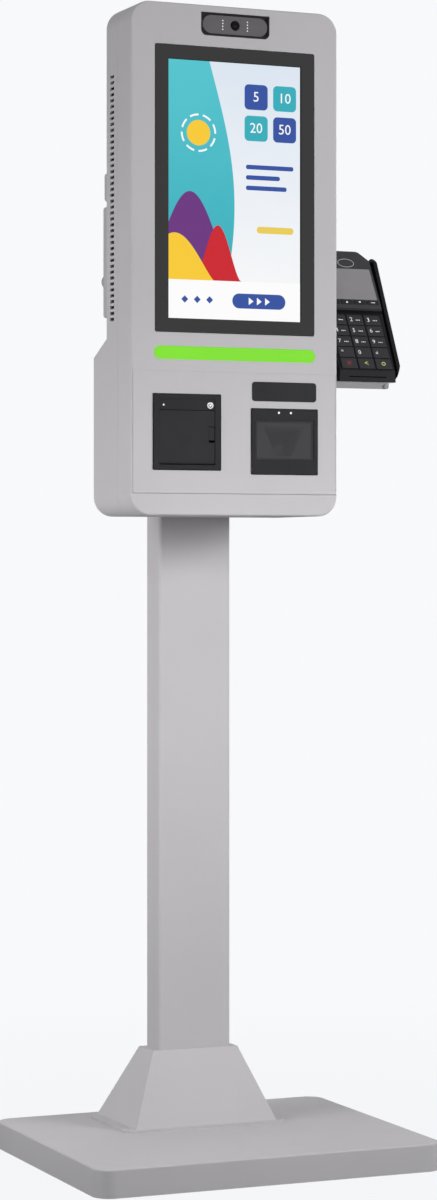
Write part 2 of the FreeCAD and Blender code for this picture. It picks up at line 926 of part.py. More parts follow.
def printer_bezel():
    """Flange and collar of the printer, with the fixed strip above its door."""
    back = head_front + printer_collar_depth
    z, width, height = printer_collar()
    solid = bezel_flange(printer_x, printer_z, printer_width, printer_height)
    solid = solid.fuse(facing(width, height, bezel_corner, printer_x, z, head_front, back))
    mouth = facing(printer_mouth_width, mouth_height, 0, printer_x, mouth_z, bezel_front, back)
    solid = solid.cut(mouth)
    strip_height = printer_strip_top - printer_strip_bottom
    strip_z = printer_strip_bottom + strip_height / 2
    solid = solid.cut(facing(printer_mouth_width, strip_height, 0, printer_x, strip_z,
                             bezel_front, printer_front))
    solid = solid.cut(facing(printer_mouth_width, strip_height, 0, printer_x, strip_z,
                             printer_front + strip_thick, back))
    strip_back = printer_front + strip_thick
    button_hole = rod_y(button_r + fit_gap, button_x, button_z, printer_front, strip_back)
    lamp_hole = rod_y(strip_lamp_r + run_gap, strip_lamp_x, button_z, printer_front, strip_back)
    solid = solid.cut([button_hole, lamp_hole])
    left = printer_x - printer_mouth_width / 2
    right = printer_x + printer_mouth_width / 2
    pins = [rod_x(hinge_pin_r, hinge_y, hinge_z, left, left + hinge_pin_length),
            rod_x(hinge_pin_r, hinge_y, hinge_z, right - hinge_pin_length, right)]
    return solid.fuse(pins)


def lever_notch():
    height = lever_height + lever_pull + 2 * fit_gap
    top = lever_top + fit_gap
    return facing(lever_width + 2 * fit_gap, height, 0, lever_x, top - height / 2,
                  printer_front, printer_front + 3 * lever_round_r)


def lever_axis():
    return printer_front + lever_round_r, lever_top - lever_round_r


def printer_door():
    """Hinged paper door that carries the platen's ears and the latch lever's seat."""
    left = printer_x - door_width / 2
    right = printer_x + door_width / 2
    plate_height = door_panel_top - hinge_z
    solid = facing(door_width, plate_height, 0, printer_x, hinge_z + plate_height / 2,
                   printer_front, printer_front + door_thick)
    solid = solid.fuse(rod_x(hinge_r, hinge_y, hinge_z, left, right))
    ear_root = printer_front + door_thick
    for side in (-1, 1):
        inner = printer_x + side * (platen_length / 2 + fit_gap)
        outer = inner + side * ear_thick
        low = min(inner, outer)
        high = max(inner, outer)
        ear = rod_x(ear_r, platen_y, platen_z, low, high)
        web = Part.makeBox(high - low, platen_y - ear_root, 2 * ear_r, V(low, ear_root, platen_z - ear_r))
        ear = ear.fuse(web)
        solid = solid.fuse(ear.cut(rod_x(platen_shaft_r + run_gap, platen_y, platen_z, low, high)))
    bore_r = hinge_pin_r + run_gap
    bore = hinge_pin_length + fit_gap
    solid = solid.cut([rod_x(bore_r, hinge_y, hinge_z, left, left + bore),
                       rod_x(bore_r, hinge_y, hinge_z, right - bore, right)])
    wall_left = lever_x - lever_width / 2 - fit_gap - lever_wall_rim
    wall_height = lever_height + lever_pull + 2 * lever_wall_rim
    wall_top = lever_top + fit_gap + lever_wall_rim
    solid = solid.fuse(facing(right - wall_left, wall_height, 0, (wall_left + right) / 2,
                              wall_top - wall_height / 2, printer_front, printer_front + 2 * lever_round_r))
    groove_z = hinge_z + door_groove_rise
    groove = facing(door_width, door_groove_height, 0, printer_x, groove_z, printer_front,
                    printer_front + door_groove_depth)
    solid = solid.cut([lever_notch(), groove])
    y, z = lever_axis()
    half = lever_width / 2 + fit_gap
    pin = rod_x(lever_pin_r, y, z, lever_x - half, lever_x + half)
    return solid.fuse(pin)


def door_latch():
    """Pull lever on the printer door, round about its pin, thin at the pull end."""
    y, z = lever_axis()
    left = lever_x - lever_width / 2
    right = lever_x + lever_width / 2
    front = printer_front
    bottom = lever_top - lever_height
    blade = profile_x([(front, z), (front, bottom), (front + lever_thick * lever_taper, bottom),
                       (front + lever_thick, z)], left, right)
    solid = blade.fuse(rod_x(lever_round_r, y, z, left, right))
    return solid.cut(rod_x(lever_pin_r + run_gap, y, z, left, right))


def feed_button():
    flange_front = printer_front + strip_thick + fit_gap
    solid = rod_y(button_r, button_x, button_z, printer_front - button_rise, flange_front)
    solid = solid.makeFillet(button_round, edges_in_plane(solid, 1, printer_front - button_rise))
    return solid.fuse(rod_y(button_r + button_flange_reach, button_x, button_z, flange_front,
                            flange_front + button_flange))


def platen_roller():
    """Rubber roller on its steel shaft."""
    left = printer_x - platen_length / 2
    right = printer_x + platen_length / 2
    shaft_reach = fit_gap + ear_thick
    solid = rod_x(platen_r, platen_y, platen_z, left, right)
    return solid.fuse(rod_x(platen_shaft_r, platen_y, platen_z, left - shaft_reach, right + shaft_reach))


def print_mechanism():
    """Print head block over the platen and the curved bucket that holds the roll."""
    left = printer_x - mechanism_width / 2
    right = printer_x + mechanism_width / 2
    bottom = printer_mouth_bottom + fit_gap
    top = printer_strip_top - fit_gap
    front = platen_y + platen_r + platen_clear
    solid = profile_x([(front, bottom), (mechanism_back, bottom), (mechanism_back, top), (front, top)],
                      left, right)
    bucket_r = roll_r + bucket_gap
    bucket_half = roll_width / 2 + bucket_gap
    bucket = rod_x(bucket_r, roll_y, roll_z, printer_x - bucket_half, printer_x + bucket_half)
    mouth = Part.makeBox(2 * bucket_half, roll_y - front, 2 * bucket_r,
                         V(printer_x - bucket_half, front, roll_z - bucket_r))
    solid = solid.cut([bucket, mouth])
    head_front_y = printer_front + strip_thick + fit_gap + button_flange + button_travel + fit_gap
    head_bottom_z = platen_z + platen_r + fit_gap
    head = [(head_front_y, head_bottom_z + head_slant), (platen_y, head_bottom_z), (front, head_bottom_z),
            (front, top), (head_front_y, top)]
    return solid.fuse(profile_x(head, left + head_inset, right - head_inset))


def paper_roll():
    half = roll_width / 2
    drop = bucket_gap - fit_gap
    solid = rod_x(roll_r, roll_y, roll_z - drop, printer_x - half, printer_x + half)
    return solid.cut(rod_x(roll_core_r, roll_y, roll_z - drop, printer_x - half, printer_x + half))


def scanner_bezel():
    back = head_front + scanner_collar_depth
    solid = bezel_flange(scanner_x, scanner_z, scanner_width, scanner_height)
    width, height = scanner_collar()
    solid = solid.fuse(facing(width, height, bezel_corner, scanner_x, window_z, head_front, back))
    solid = solid.cut(facing(window_width, window_height, window_corner, scanner_x, window_z,
                             bezel_front, window_back))
    solid = solid.cut(facing(window_width - 2 * window_ledge, window_height - 2 * window_ledge, window_corner,
                             scanner_x, window_z, window_back, back))
    for side in (-1, 1):
        x = scanner_x + side * scanner_lamp_span / 2
        solid = solid.cut(rod_y(scanner_lamp_r + run_gap, x, scanner_lamp_z, bezel_front, head_front))
    return solid


def scanner_window():
    return facing(window_width - 2 * fit_gap, window_height - 2 * fit_gap, window_corner - fit_gap, scanner_x,
                  window_z, window_front, window_back)


def funnel_wire(bottom, bottom_half, top, top_half, y):
    """Upright four-sided outline of the scanner's funnel at one depth."""
    corners = [(-bottom_half, bottom), (bottom_half, bottom), (top_half, top), (-top_half, top)]
    points = [V(scanner_x + x, y, z) for x, z in corners]
    points.append(points[0])
    return Part.makePolygon(points)


def scanner_module():
    """Reader body with a boss in the bezel's collar and a funnel down to its round lens."""
    front = head_front + scanner_collar_depth
    width, height = scanner_collar()
    solid = facing(width, height, bezel_corner, scanner_x, window_z, front, front + scanner_depth)
    boss_front = window_back + fit_gap
    shrink = 2 * (window_ledge + fit_gap)
    solid = solid.fuse(facing(window_width - shrink, window_height - shrink, window_corner, scanner_x,
                              window_z, boss_front, front))
    floor = boss_front + funnel_depth
    mouth = funnel_wire(funnel_bottom, funnel_bottom_half, funnel_top, funnel_top_half, boss_front)
    seat = funnel_wire(scanner_lens_z - funnel_floor_half, funnel_floor_half,
                       scanner_lens_z + funnel_floor_half, funnel_floor_half, floor)
    solid = solid.cut(Part.makeLoft([mouth, seat], True, True))
    lens_front = bezel_front + scanner_lens_sink
    lens = rod_y(scanner_lens_r, scanner_x, scanner_lens_z, lens_front, floor)
    eye = rod_y(scanner_eye_r, scanner_x, scanner_lens_z, lens_front, lens_front + scanner_eye_depth)
    return solid.fuse(lens.cut(eye))


# Rear of the housing

def rear_knuckle_places():
    """Lower end of each two-knuckle hinge, at the bottom and the top of the door."""
    low = door_bottom + rear_hinge_inset
    high = door_top - rear_hinge_inset - 2 * rear_knuckle
    return [low, high]


def rear_door():
    """Shallow pan door of folded sheet with its upper hinge knuckles."""
    front = rear_upper + seam_gap
    pan_back = rear_door_back - door_sheet
    solid = facing(rear_door_width, rear_door_height, door_round, rear_door_x, rear_door_z,
                   front, rear_door_back)
    solid = solid.makeFillet(door_sheet, edges_in_plane(solid, 1, rear_door_back))
    solid = solid.cut(facing(rear_door_width - 2 * door_sheet, rear_door_height - 2 * door_sheet,
                             door_round - door_sheet, rear_door_x, rear_door_z, front, pan_back))
    solid = solid.cut(rod_y(lock_shaft_r + run_gap, lock_x, lock_z, pan_back, rear_door_back))
    for bottom in rear_knuckle_places():
        low = bottom + rear_knuckle + fit_gap / 2
        high = bottom + 2 * rear_knuckle
        knuckle = rod_z(rear_hinge_r, rear_hinge_x, rear_hinge_y, low, high)
        web = Part.makeBox(rear_hinge_x - door_right, rear_hinge_r, high - low,
                           V(door_right, rear_hinge_y, low))
        solid = solid.fuse(knuckle.fuse(web))
        solid = solid.cut(rod_z(rear_hinge_pin_r + run_gap, rear_hinge_x, rear_hinge_y, low, high))
    return solid


def rear_hinges():
    """Fixed lower knuckles with their leaves and pins."""
    hinges = []
    for bottom in rear_knuckle_places():
        middle = bottom + rear_knuckle - fit_gap / 2
        solid = rod_z(rear_hinge_r, rear_hinge_x, rear_hinge_y, bottom, middle)
        leaf = Part.makeBox(rear_leaf_width, rear_leaf_thick, middle - bottom,
                            V(rear_hinge_x - rear_leaf_width / 4, rear_upper, bottom))
        web = Part.makeBox(rear_hinge_r, rear_hinge_rise, middle - bottom, V(rear_hinge_x, rear_upper, bottom))
        pin = rod_z(rear_hinge_pin_r, rear_hinge_x, rear_hinge_y, middle, bottom + 2 * rear_knuckle - fit_gap)
        hinges.append(solid.fuse([leaf, web, pin]))
    return Part.makeCompound(hinges)


def rear_lock():
    """Turn knob outside, shaft through the door, and the cam that hooks behind the housing."""
    outside = rear_door_back + fit_gap
    knob = rod_y(knob_r, lock_x, lock_z, outside, outside + knob_height)
    knob = knob.makeFillet(knob_round, edges_in_plane(knob, 1, outside + knob_height))
    for side in (-1, 1):
        offset = side * (knob_grip_width / 2 + knob_r / 2)
        groove = facing(knob_r, 2 * knob_r, 0, lock_x + offset, lock_z,
                        outside + knob_height - knob_grip_depth, outside + knob_height)
        knob = knob.cut(groove)
    shaft = rod_y(lock_shaft_r, lock_x, lock_z, rear_door_back - door_sheet - fit_gap, outside)
    cam_back = rear_upper - sheet - fit_gap
    cam_front = cam_back - cam_thick
    hub = rod_y(lock_hub_r, lock_x, lock_z, cam_front, rear_door_back - door_sheet - fit_gap)
    arm = facing(cam_width, cam_length, small_corner, lock_x, lock_z - cam_length / 2, cam_front, cam_back)
    return knob.fuse([shaft, hub, arm])


def antenna_cover():
    """Plastic cap over the wireless aerials."""
    height = aerial_top - aerial_bottom
    z = (aerial_top + aerial_bottom) / 2
    back = rear_upper + aerial_depth
    solid = facing(aerial_width, height, door_round, 0, z, rear_upper, back)
    solid = solid.makeFillet(aerial_wall, edges_in_plane(solid, 1, back))
    return solid.cut(facing(aerial_width - 2 * aerial_wall, height - 2 * aerial_wall,
                            door_round - aerial_wall, 0, z, rear_upper, back - aerial_wall))


def computer():
    """Fanless computer: a case with upright cooling fins on its rear face."""
    solid = facing(computer_width, computer_height, small_corner, 0, computer_z, frame_back, computer_back)
    pitch = (computer_width - fin_thick) / (fin_count - 1)
    for i in range(fin_count):
        x = -computer_width / 2 + fin_thick / 2 + pitch * i
        solid = solid.fuse(facing(fin_thick, computer_height, 0, x, computer_z, computer_back,
                                  computer_back + fin_height))
    return solid


def power_supply():
    """Enclosed supply on the rear wall, with a row of cooling slots."""
    back = rear_lower - sheet
    solid = facing(supply_width, supply_height, small_corner, supply_x, supply_z, back - supply_depth, back)
    pitch = supply_height / (supply_slot_count + 1)
    for i in range(supply_slot_count):
        z = supply_z - supply_height / 2 + pitch * (i + 1)
        solid = solid.cut(facing(supply_width / 2, pitch / 2, 0, supply_x, z,
                                 back - supply_depth, back - supply_depth + supply_slot_depth))
    return solid


# Payment terminal, built in its own frame: x across, v up the face, n out of the face

def place_terminal(shape):
    shape.rotate(ORIGIN, X_AXIS, 90 - terminal_tilt)
    shape.translate(V(terminal_x, terminal_y, terminal_z))
    return shape


def down(point, drop):
    v, n = point
    return v - drop * math.cos(tilt), n - drop * math.sin(tilt)


def backwards(point, run):
    v, n = point
    return v + run * math.sin(tilt), n - run * math.cos(tilt)


def face_plan(level, bottom_half, top_half_width):
    """Front outline of the terminal at one level, with cut upper corners."""
    right = [(bottom_half, chin_v - chin_drop), (bottom_half, chin_v), (top_half_width, step_v),
             (top_half_width, top_corner_v), (top_half, terminal_top_v)]
    left = [(-x, v) for x, v in reversed(right)]
    corners = [V(x, v, level) for x, v in right + left]
    corners.append(corners[0])
    return Part.makePolygon(corners)


def side_slab(points):
    """Side profile of (v, n) points, wider than the terminal."""
    half = rail_high[0] + rail_wall
    corners = [V(-half, v, n) for v, n in points]
    corners.append(corners[0])
    return Part.Face(Part.makePolygon(corners)).extrude(V(2 * half, 0, 0))


def keypad_places():
    """Column and row of each key: three columns, five rows from the bottom."""
    names = [["key_cancel", "key_clear", "key_enter"],
             ["key_star", "key_0", "key_hash"],
             ["key_7", "key_8", "key_9"],
             ["key_4", "key_5", "key_6"],
             ["key_1", "key_2", "key_3"]]
    places = []
    for row, row_names in enumerate(names):
        for column, name in enumerate(row_names):
            places.append((name, (column - 1) * key_pitch_x, key_first_v + row * key_pitch_v))
    return places


def soft_key_places():
    names = ["key_menu", "key_up", "key_down", "key_dash"]
    return [(name, (i - 1.5) * soft_key_pitch, soft_key_v) for i, name in enumerate(names)]


def pad(width, length, radius, x, v, low, high):
    """Block in the terminal's frame, from level low to level high."""
    return block(width, length, high - low, radius, x, v, low)


def island(gap, drop):
    """Inner space of the cover above its seam: low under the keys, high under the display."""
    keypad_top = key_level - cover_wall - drop
    display_top = bezel_level - cover_wall - drop
    keypad_half = 1.5 * key_pitch_x + key_flange - gap
    display_half = (3 * soft_key_pitch + soft_key_width) / 2 + key_flange + fit_gap - gap
    keypad_low = key_first_v - key_pitch_v / 2 - key_flange + gap
    display_high = display_v + display_length / 2 + fit_gap - gap
    keypad = pad(2 * keypad_half, step_v - keypad_low, 0, 0, (step_v + keypad_low) / 2, seam_level, keypad_top)
    display_low = soft_key_v - soft_key_length / 2 - soft_key_margin + gap
    display = pad(2 * display_half, display_high - display_low, 0, 0, (display_high + display_low) / 2,
                  seam_level, display_top)
    bridge = pad(2 * keypad_half, display_low - step_v, 0, 0, (display_low + step_v) / 2,
                 seam_level, keypad_top)
    return keypad.fuse([display, bridge])


def chin_points():
    """Lower front edge of the chin and the point where the chin meets the seam."""
    low = down(chin_top, chin_drop)
    return low, backwards(low, (low[1] - seam_level) / math.cos(tilt))


def card_slot():
    """Cutter for the card slot, square to the chin's face."""
    v, n = down(chin_top, card_slot_drop)
    slot = pad(card_slot_width, 2 * card_slot_depth, 0, 0, 0, -card_slot_height / 2, card_slot_height / 2)
    slot.rotate(ORIGIN, X_AXIS, terminal_tilt - 90)
    slot.translate(V(0, v, n))
    return slot


def terminal_cover():
    """Upper moulding: keypad field, raised display bezel and the front chin with its card slot."""
    body = Part.makeLoft([face_plan(seam_level, seam_half_bottom, seam_half_top),
                          face_plan(bezel_level, face_half_bottom, face_half_top)], True, True)
    chin_low, seam_point = chin_points()
    side = [chin_top, chin_low, seam_point, (terminal_top_v, seam_level),
            (terminal_top_v, bezel_level - top_bevel_drop), (terminal_top_v - top_bevel_run, bezel_level),
            (step_v + step_run, bezel_level), (step_v, key_level)]
    solid = body.common(side_slab(side))
    solid = solid.cut(island(0, 0))
    for name, x, v in keypad_places():
        solid = solid.cut(pad(key_width + 2 * fit_gap, key_length + 2 * fit_gap, key_corner + fit_gap, x, v,
                              key_level - cover_wall, bezel_level))
    for name, x, v in soft_key_places():
        solid = solid.cut(pad(soft_key_width + 2 * fit_gap, soft_key_length + 2 * fit_gap,
                              soft_key_corner + fit_gap, x, v, bezel_level - cover_wall, bezel_level))
    pocket = pad(display_width, display_length, display_corner, 0, display_v,
                 bezel_level - display_thick, bezel_level)
    window = pad(display_width - 2 * display_ledge, display_length - 2 * display_ledge, small_corner,
                 0, display_v, bezel_level - cover_wall, bezel_level)
    return place_terminal(solid.cut([pocket, window, card_slot()]))


def rail_edge_x(v):
    """Straight outer edge of the swipe rail, continued past both its ends."""
    return rail_low[0] + rail_slope * (v - rail_low[1])


def rail_plan():
    """Front outline of the swipe rail: slanting foot, straight edge and rounded upper end."""
    places = (rail_foot, rail_low, rail_high, rail_shoulder, rail_peak, rail_round, rail_tip)
    foot, low, high, shoulder, peak, bend, tip = [V(x, v, 0) for x, v in places]
    inner_high = V(rail_inner_x, top_corner_v, 0)
    inner_low = V(rail_inner_x, rail_foot[1], 0)
    edges = [Part.LineSegment(a, b).toShape() for a, b in ((inner_low, foot), (foot, low), (low, high))]
    edges.append(Part.Arc(high, shoulder, peak).toShape())
    edges.append(Part.Arc(peak, bend, tip).toShape())
    edges.extend(Part.LineSegment(a, b).toShape() for a, b in ((tip, inner_high), (inner_high, inner_low)))
    return Part.Face(Part.Wire(edges))


def rail_cut(width, low_level):
    """Cutter along the rail's wall, open at the foot and closed at the upper end."""
    start = rail_foot[1] - rail_wall
    corners = []
    for v in (start, rail_groove_end):
        right = rail_edge_x(v) - rail_wall
        ends = [V(right - width, v, low_level), V(right, v, low_level)]
        corners.extend(ends if v == start else reversed(ends))
    corners.append(corners[0])
    return Part.Face(Part.makePolygon(corners)).extrude(V(0, 0, rail_top_level - low_level))


def terminal_base():
    """Lower moulding with the hand hump, the boards' island and the card swipe rail."""
    chin_low, seam_point = chin_points()
    low_back = backwards(chin_low, bottom_run)
    back = [low_back, (grip_v, -grip_level), (hump_v, -back_level),
            (terminal_top_v - back_chamfer, -back_level), (terminal_top_v, -back_level + back_chamfer)]
    body = Part.makeLoft([face_plan(seam_level, seam_half_bottom, seam_half_top),
                          face_plan(-back_level, back_half, back_half)], True, True)
    solid = body.common(side_slab([seam_point] + back + [(terminal_top_v, seam_level)]))
    solid = solid.fuse(island(fit_gap, board_drop))
    rail = rail_plan().extrude(V(0, 0, rail_slot_depth + rail_floor))
    rail.translate(V(0, 0, rail_floor_level - rail_floor))
    rail = rail.common(side_slab([chin_top, chin_low] + back + [(terminal_top_v, rail_top_level)]))
    rail = rail.cut(rail_cut(rail_high[0] - rail_inner_x, seam_level))
    solid = solid.fuse(rail)
    return place_terminal(solid.cut([rail_cut(rail_slot, rail_floor_level), card_slot()]))


def terminal_display():
    low = bezel_level - display_thick
    return place_terminal(pad(display_width - 2 * fit_gap, display_length - 2 * fit_gap,
                              display_corner - fit_gap, 0, display_v, low, bezel_level))


def keycap(width, length, corner, x, v, level, rise):
    """Key with a bevelled cap above the face and a holding flange under the cover."""
    flange_top = level - cover_wall - fit_gap
    cap = pad(width, length, corner, x, v, flange_top, level + rise)
    cap = cap.makeChamfer(key_bevel, edges_in_plane(cap, 2, level + rise))
    flange = pad(width + 2 * key_flange, length + 2 * key_flange, corner, x, v,
                 flange_top - key_flange_thick, flange_top)
    return place_terminal(cap.fuse(flange))


# Bracket that holds the terminal beside the housing

def flange_screw_places():
    y = (flange_front + flange_back) / 2
    z = (flange_bottom + flange_top) / 2
    return [(y + a, z + b) for a, b in grid(flange_screw_span_y, flange_screw_span_z)]


def shelf_top():
    v, n = down(chin_top, chin_drop)
    return terminal_z + v * math.cos(tilt) + n * math.sin(tilt) - fit_gap


def lip_screw_z():
    return shelf_top() - (bracket_sheet + bracket_lip) / 2


def lip_screw_places():
    return [bracket_left + lip_screw_inset, bracket_right - lip_screw_inset]


def back_plate_point(v, n):
    return (terminal_y + v * math.sin(tilt) - n * math.cos(tilt),
            terminal_z + v * math.cos(tilt) + n * math.sin(tilt))


def terminal_bracket():
    """Folded sheet: side flange on the housing, shelf with front lip, and tilted back plate."""
    top = shelf_top()
    low = top - bracket_sheet
    inner_n = -back_level - fit_gap
    outer_n = inner_n - bracket_sheet
    v_inner = (top - terminal_z - inner_n * math.sin(tilt)) / math.cos(tilt)
    v_outer = (low - terminal_z - outer_n * math.sin(tilt)) / math.cos(tilt)
    inner_low = back_plate_point(v_inner, inner_n)
    outer_low = back_plate_point(v_outer, outer_n)
    inner_high = back_plate_point(bracket_back_v, inner_n)
    outer_high = back_plate_point(bracket_back_v, outer_n)
    back = profile_x([inner_low, outer_low, outer_high, inner_high], bracket_back_left, bracket_back_right)
    shelf = profile_x([(terminal_y, low), outer_low, inner_low, (terminal_y, top)],
                      bracket_left, bracket_right)
    width = bracket_right - bracket_left
    lip = facing(width, bracket_lip, bracket_corner, (bracket_left + bracket_right) / 2, top - bracket_lip / 2,
                 terminal_y, terminal_y + bracket_sheet)
    arm = Part.makeBox(bracket_left - side_x, flange_back - arm_front, bracket_sheet,
                       V(side_x, arm_front, low))
    arm = arm.common(profile_x([(arm_front, low), (flange_back, low), (flange_back, top), (arm_front, top)],
                               side_x, bracket_left))
    flange = Part.makeBox(bracket_sheet, flange_back - flange_front, flange_top - flange_bottom,
                          V(side_x, flange_front, flange_bottom))
    bend = [edge for edge in edges_in_plane(shelf, 1, terminal_y) if abs(edge.BoundBox.ZMin - top) < 1e-3]
    shelf = shelf.makeFillet(bracket_bend_r, bend)
    lip = lip.cut(Part.makeBox(width, bracket_bend_r, bracket_bend_r,
                               V(bracket_left, terminal_y, top - bracket_bend_r)))
    solid = back.fuse([shelf, lip, arm, flange])
    for y, z in flange_screw_places():
        solid = solid.cut(rod_x(screw_r + fit_gap, y, z, side_x, side_x + bracket_sheet))
    for x in lip_screw_places():
        solid = solid.cut(rod_y(screw_r + fit_gap, x, lip_screw_z(), terminal_y, terminal_y + bracket_sheet))
    return solid.removeSplitter()


def build():
    """Every node of the kiosk by name."""
    parts = {
        "floor_pad": floor_pad(),
        "ballast_plate": ballast_plate(),
        "base_cover": base_cover(),
        "cable_grommet": cable_grommet(),
        "foot_plate": foot_plate(),
        "post_cone": post_cone(),
        "post": post(),
        "mount_plate": mount_plate(),
        "stand_bolts": stand_bolts(),
        "front_shell": front_shell(),
        "rear_shell": rear_shell(),
        "case_screws": case_screws(),
        "peripheral_panel": peripheral_panel(),
        "screen_glass": screen_glass(),
        "lcd_panel": lcd_panel(),
        "screen_frame": screen_frame(),
        "light_bar": light_bar(),
        "light_board": light_board(),
        "camera_housing": camera_housing(),
        "camera_lens": camera_lens(),
        "indicator_lights": indicator_lights(),
        "printer_bezel": printer_bezel(),
        "printer_door": printer_door(),
        "door_latch": door_latch(),
        "feed_button": feed_button(),
        "platen_roller": platen_roller(),
        "print_mechanism": print_mechanism(),
        "paper_roll": paper_roll(),
        "scanner_bezel": scanner_bezel(),
        "scanner_window": scanner_window(),
        "scanner_module": scanner_module(),
        "rear_door": rear_door(),
        "rear_hinges": rear_hinges(),
        "rear_lock": rear_lock(),
        "antenna_cover": antenna_cover(),
        "computer": computer(),
        "power_supply": power_supply(),
        "terminal_bracket": terminal_bracket(),
        "terminal_base": terminal_base(),
        "terminal_cover": terminal_cover(),
        "terminal_display": terminal_display(),
    }
    for name, x, v in keypad_places():
        parts[name] = keycap(key_width, key_length, key_corner, x, v, key_level, key_rise)
    for name, x, v in soft_key_places():
        parts[name] = keycap(soft_key_width, soft_key_length, soft_key_corner, x, v, bezel_level,
                             soft_key_rise)
    return parts


os.makedirs("parts", exist_ok=True)
for node, shape in build().items():
    shape.exportStep("parts/" + node + ".step")
    print(node, "solids", len(shape.Solids), "valid", shape.isValid(), "volume", round(shape.Volume))
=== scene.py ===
import math

import bpy
from mathutils import Matrix, Vector
from mathutils.bvhtree import BVHTree


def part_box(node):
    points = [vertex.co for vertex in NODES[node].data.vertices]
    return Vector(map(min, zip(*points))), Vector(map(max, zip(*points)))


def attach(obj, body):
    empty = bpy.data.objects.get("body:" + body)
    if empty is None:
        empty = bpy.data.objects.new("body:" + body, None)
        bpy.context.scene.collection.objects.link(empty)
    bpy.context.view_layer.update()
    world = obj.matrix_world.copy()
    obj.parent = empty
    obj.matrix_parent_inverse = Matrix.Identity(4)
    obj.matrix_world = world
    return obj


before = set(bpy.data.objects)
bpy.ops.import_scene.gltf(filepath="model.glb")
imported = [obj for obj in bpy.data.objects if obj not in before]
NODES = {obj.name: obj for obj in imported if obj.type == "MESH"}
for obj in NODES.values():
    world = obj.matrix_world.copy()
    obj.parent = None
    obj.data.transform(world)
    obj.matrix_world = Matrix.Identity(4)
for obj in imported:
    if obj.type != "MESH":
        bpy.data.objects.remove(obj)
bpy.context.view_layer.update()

# Donation kiosk: looks built round the CAD frame. Metres, +Z up, front towards -Y.
MM = 0.001

# Camera, fitted to the photograph's straight edges, with the shift of its view in pixels of the picture
CAMERA_PLACE = (-1.6714, -3.8948, 0.8045)
CAMERA_YAW = 23.291
CAMERA_LENS = 93.62
CAMERA_SENSOR = 36.0
CAMERA_REACH = 100.0
PICTURE_HEIGHT = 1200
VIEW_SHIFT = -33.75

# Plain light from all round, at the horizon and straight above
AMBIENT_SIDE = 0.3
AMBIENT_TOP = 0.03

# Floor: its reach, how much of it melts into the background near the object, and where all of it does
FLOOR_REACH = 30.0
FLOOR_GLOW = 0.96
FLOOR_FADE_START = 0.35
FLOOR_FADE_END = 1.6

# Colours of the parts and the studio, in sRGB from 0 to 255
BACKGROUND = (248, 249, 251)
FLOOR_COLOUR = (146, 147, 150)
PAINT = (190, 188, 191)
REAR_SHADED_GREY = (179, 177, 180)
# Darker copy of the paint for the rear door and antenna cover: painted shade for these faces turned away
# from the light
BRACKET_SHADED_GREY = (144, 143, 146)
# Darker copy of the paint for the terminal's bracket: painted shadow of the terminal above its lip
KNOB_GREY = (150, 149, 151)
BLACK_PLASTIC = (36, 36, 38)
PILL_GREY = (98, 96, 99)
BEZEL_BLACK = (34, 33, 34)
SMOKE = (54, 53, 55)
# The scanner's optics glow as painted light: painted shade deep inside, a pale glow at their front, and the
# lens's rim, ring and eye
OPTICS_PAINTED_SHADE = (40, 40, 41)
OPTICS_PALE = (112, 111, 114)
OPTICS_RIM = (16, 16, 17)
OPTICS_EYE = (40, 40, 42)
LAMP_WHITE = (226, 228, 224)
LIGHT_GREEN = (134, 230, 58)
PANEL_BLACK = (20, 20, 22)
TERMINAL_BASE_BLACK = (20, 20, 22)
TERMINAL_BLACK = (22, 22, 24)
RAISED_GREY = (60, 60, 62)
KEY_GREY = (46, 46, 49)
SOFT_KEY_GREY = (34, 34, 36)
DISPLAY_GREY = (131, 129, 132)
MARK_WHITE = (240, 240, 240)
MARK_GREY = (176, 176, 178)
MARK_DARK = (34, 34, 36)
MARK_RED = (150, 34, 46)
MARK_YELLOW = (226, 222, 112)
MARK_GREEN = (204, 222, 128)
RUBBER_BLACK = (34, 34, 36)
ROLLER_GREY = (58, 58, 62)
ZINC = (188, 190, 194)
SCREW_GREY = (120, 121, 124)
STEEL = (150, 152, 155)
FIN_GREY = (96, 98, 101)
SILVER = (196, 196, 199)
BOARD_GREEN = (24, 92, 52)
TRACK_GREEN = (34, 120, 70)
PAPER_EDGE = (236, 236, 232)
PAPER_WHITE = (250, 250, 247)
LENS_BLACK = (6, 6, 9)
# Violet of the painted reflection at the camera lens's rim
LENS_PAINTED_REFLECTION = (20, 18, 30)

# Colours of the screen's page, in sRGB from 0 to 255
WHITE = (255, 255, 255)
TEAL_HIGH = (90, 199, 209)
TEAL_LOW = (64, 176, 190)
PALE_HIGH = (222, 232, 243)
PALE_LOW = (248, 249, 251)
INK_BLUE = (62, 88, 164)
SUN_YELLOW = (250, 205, 62)
BAR_YELLOW = (236, 208, 92)
PLUM = (112, 62, 132)
ROSE = (206, 48, 56)

# Screen: half its width, its lower and upper edge, and the top of the white strip along its foot
SCREEN_HALF = 96.8 * MM
SCREEN_LOW = 1133.9 * MM
SCREEN_HIGH = 1478.1 * MM
STRIP_TOP = SCREEN_LOW + 52 * MM

# Page on the screen: the tiny corners of its fields and the steps of its curves
PAGE_CORNER = 0.2 * MM
PAGE_STEPS = 32

# Layers of the page: the step between two, how deep each sinks back, and the share of a step it fills
LAYER_STEP = 0.05 * MM
LAYER_SINK = 0.02 * MM
LAYER_FILL = 0.6

# Grey face of the camera, a stadium round the lens: its radius and half its straight length
PILL_RADIUS = 12.3 * MM
PILL_STRAIGHT = 34.8 * MM

# Round lens of the scanner: its middle, the radii of its rim, pale ring and dark eye, and their fade
SCANNER_LENS = (0.072, 0.0, 0.9631)
LENS_RIM = 8.4 * MM
LENS_RING = 5.6 * MM
LENS_EYE = 2.2 * MM
LENS_FADE = 0.4 * MM

# Depth over which painted shade darkens the scanner's glowing optics
OPTICS_SHADE_DEPTH = 6 * MM

# Width of the painted shade along the outline of the printer's and the scanner's bezel
BEZEL_SHADE_WIDTH = 1.2 * MM

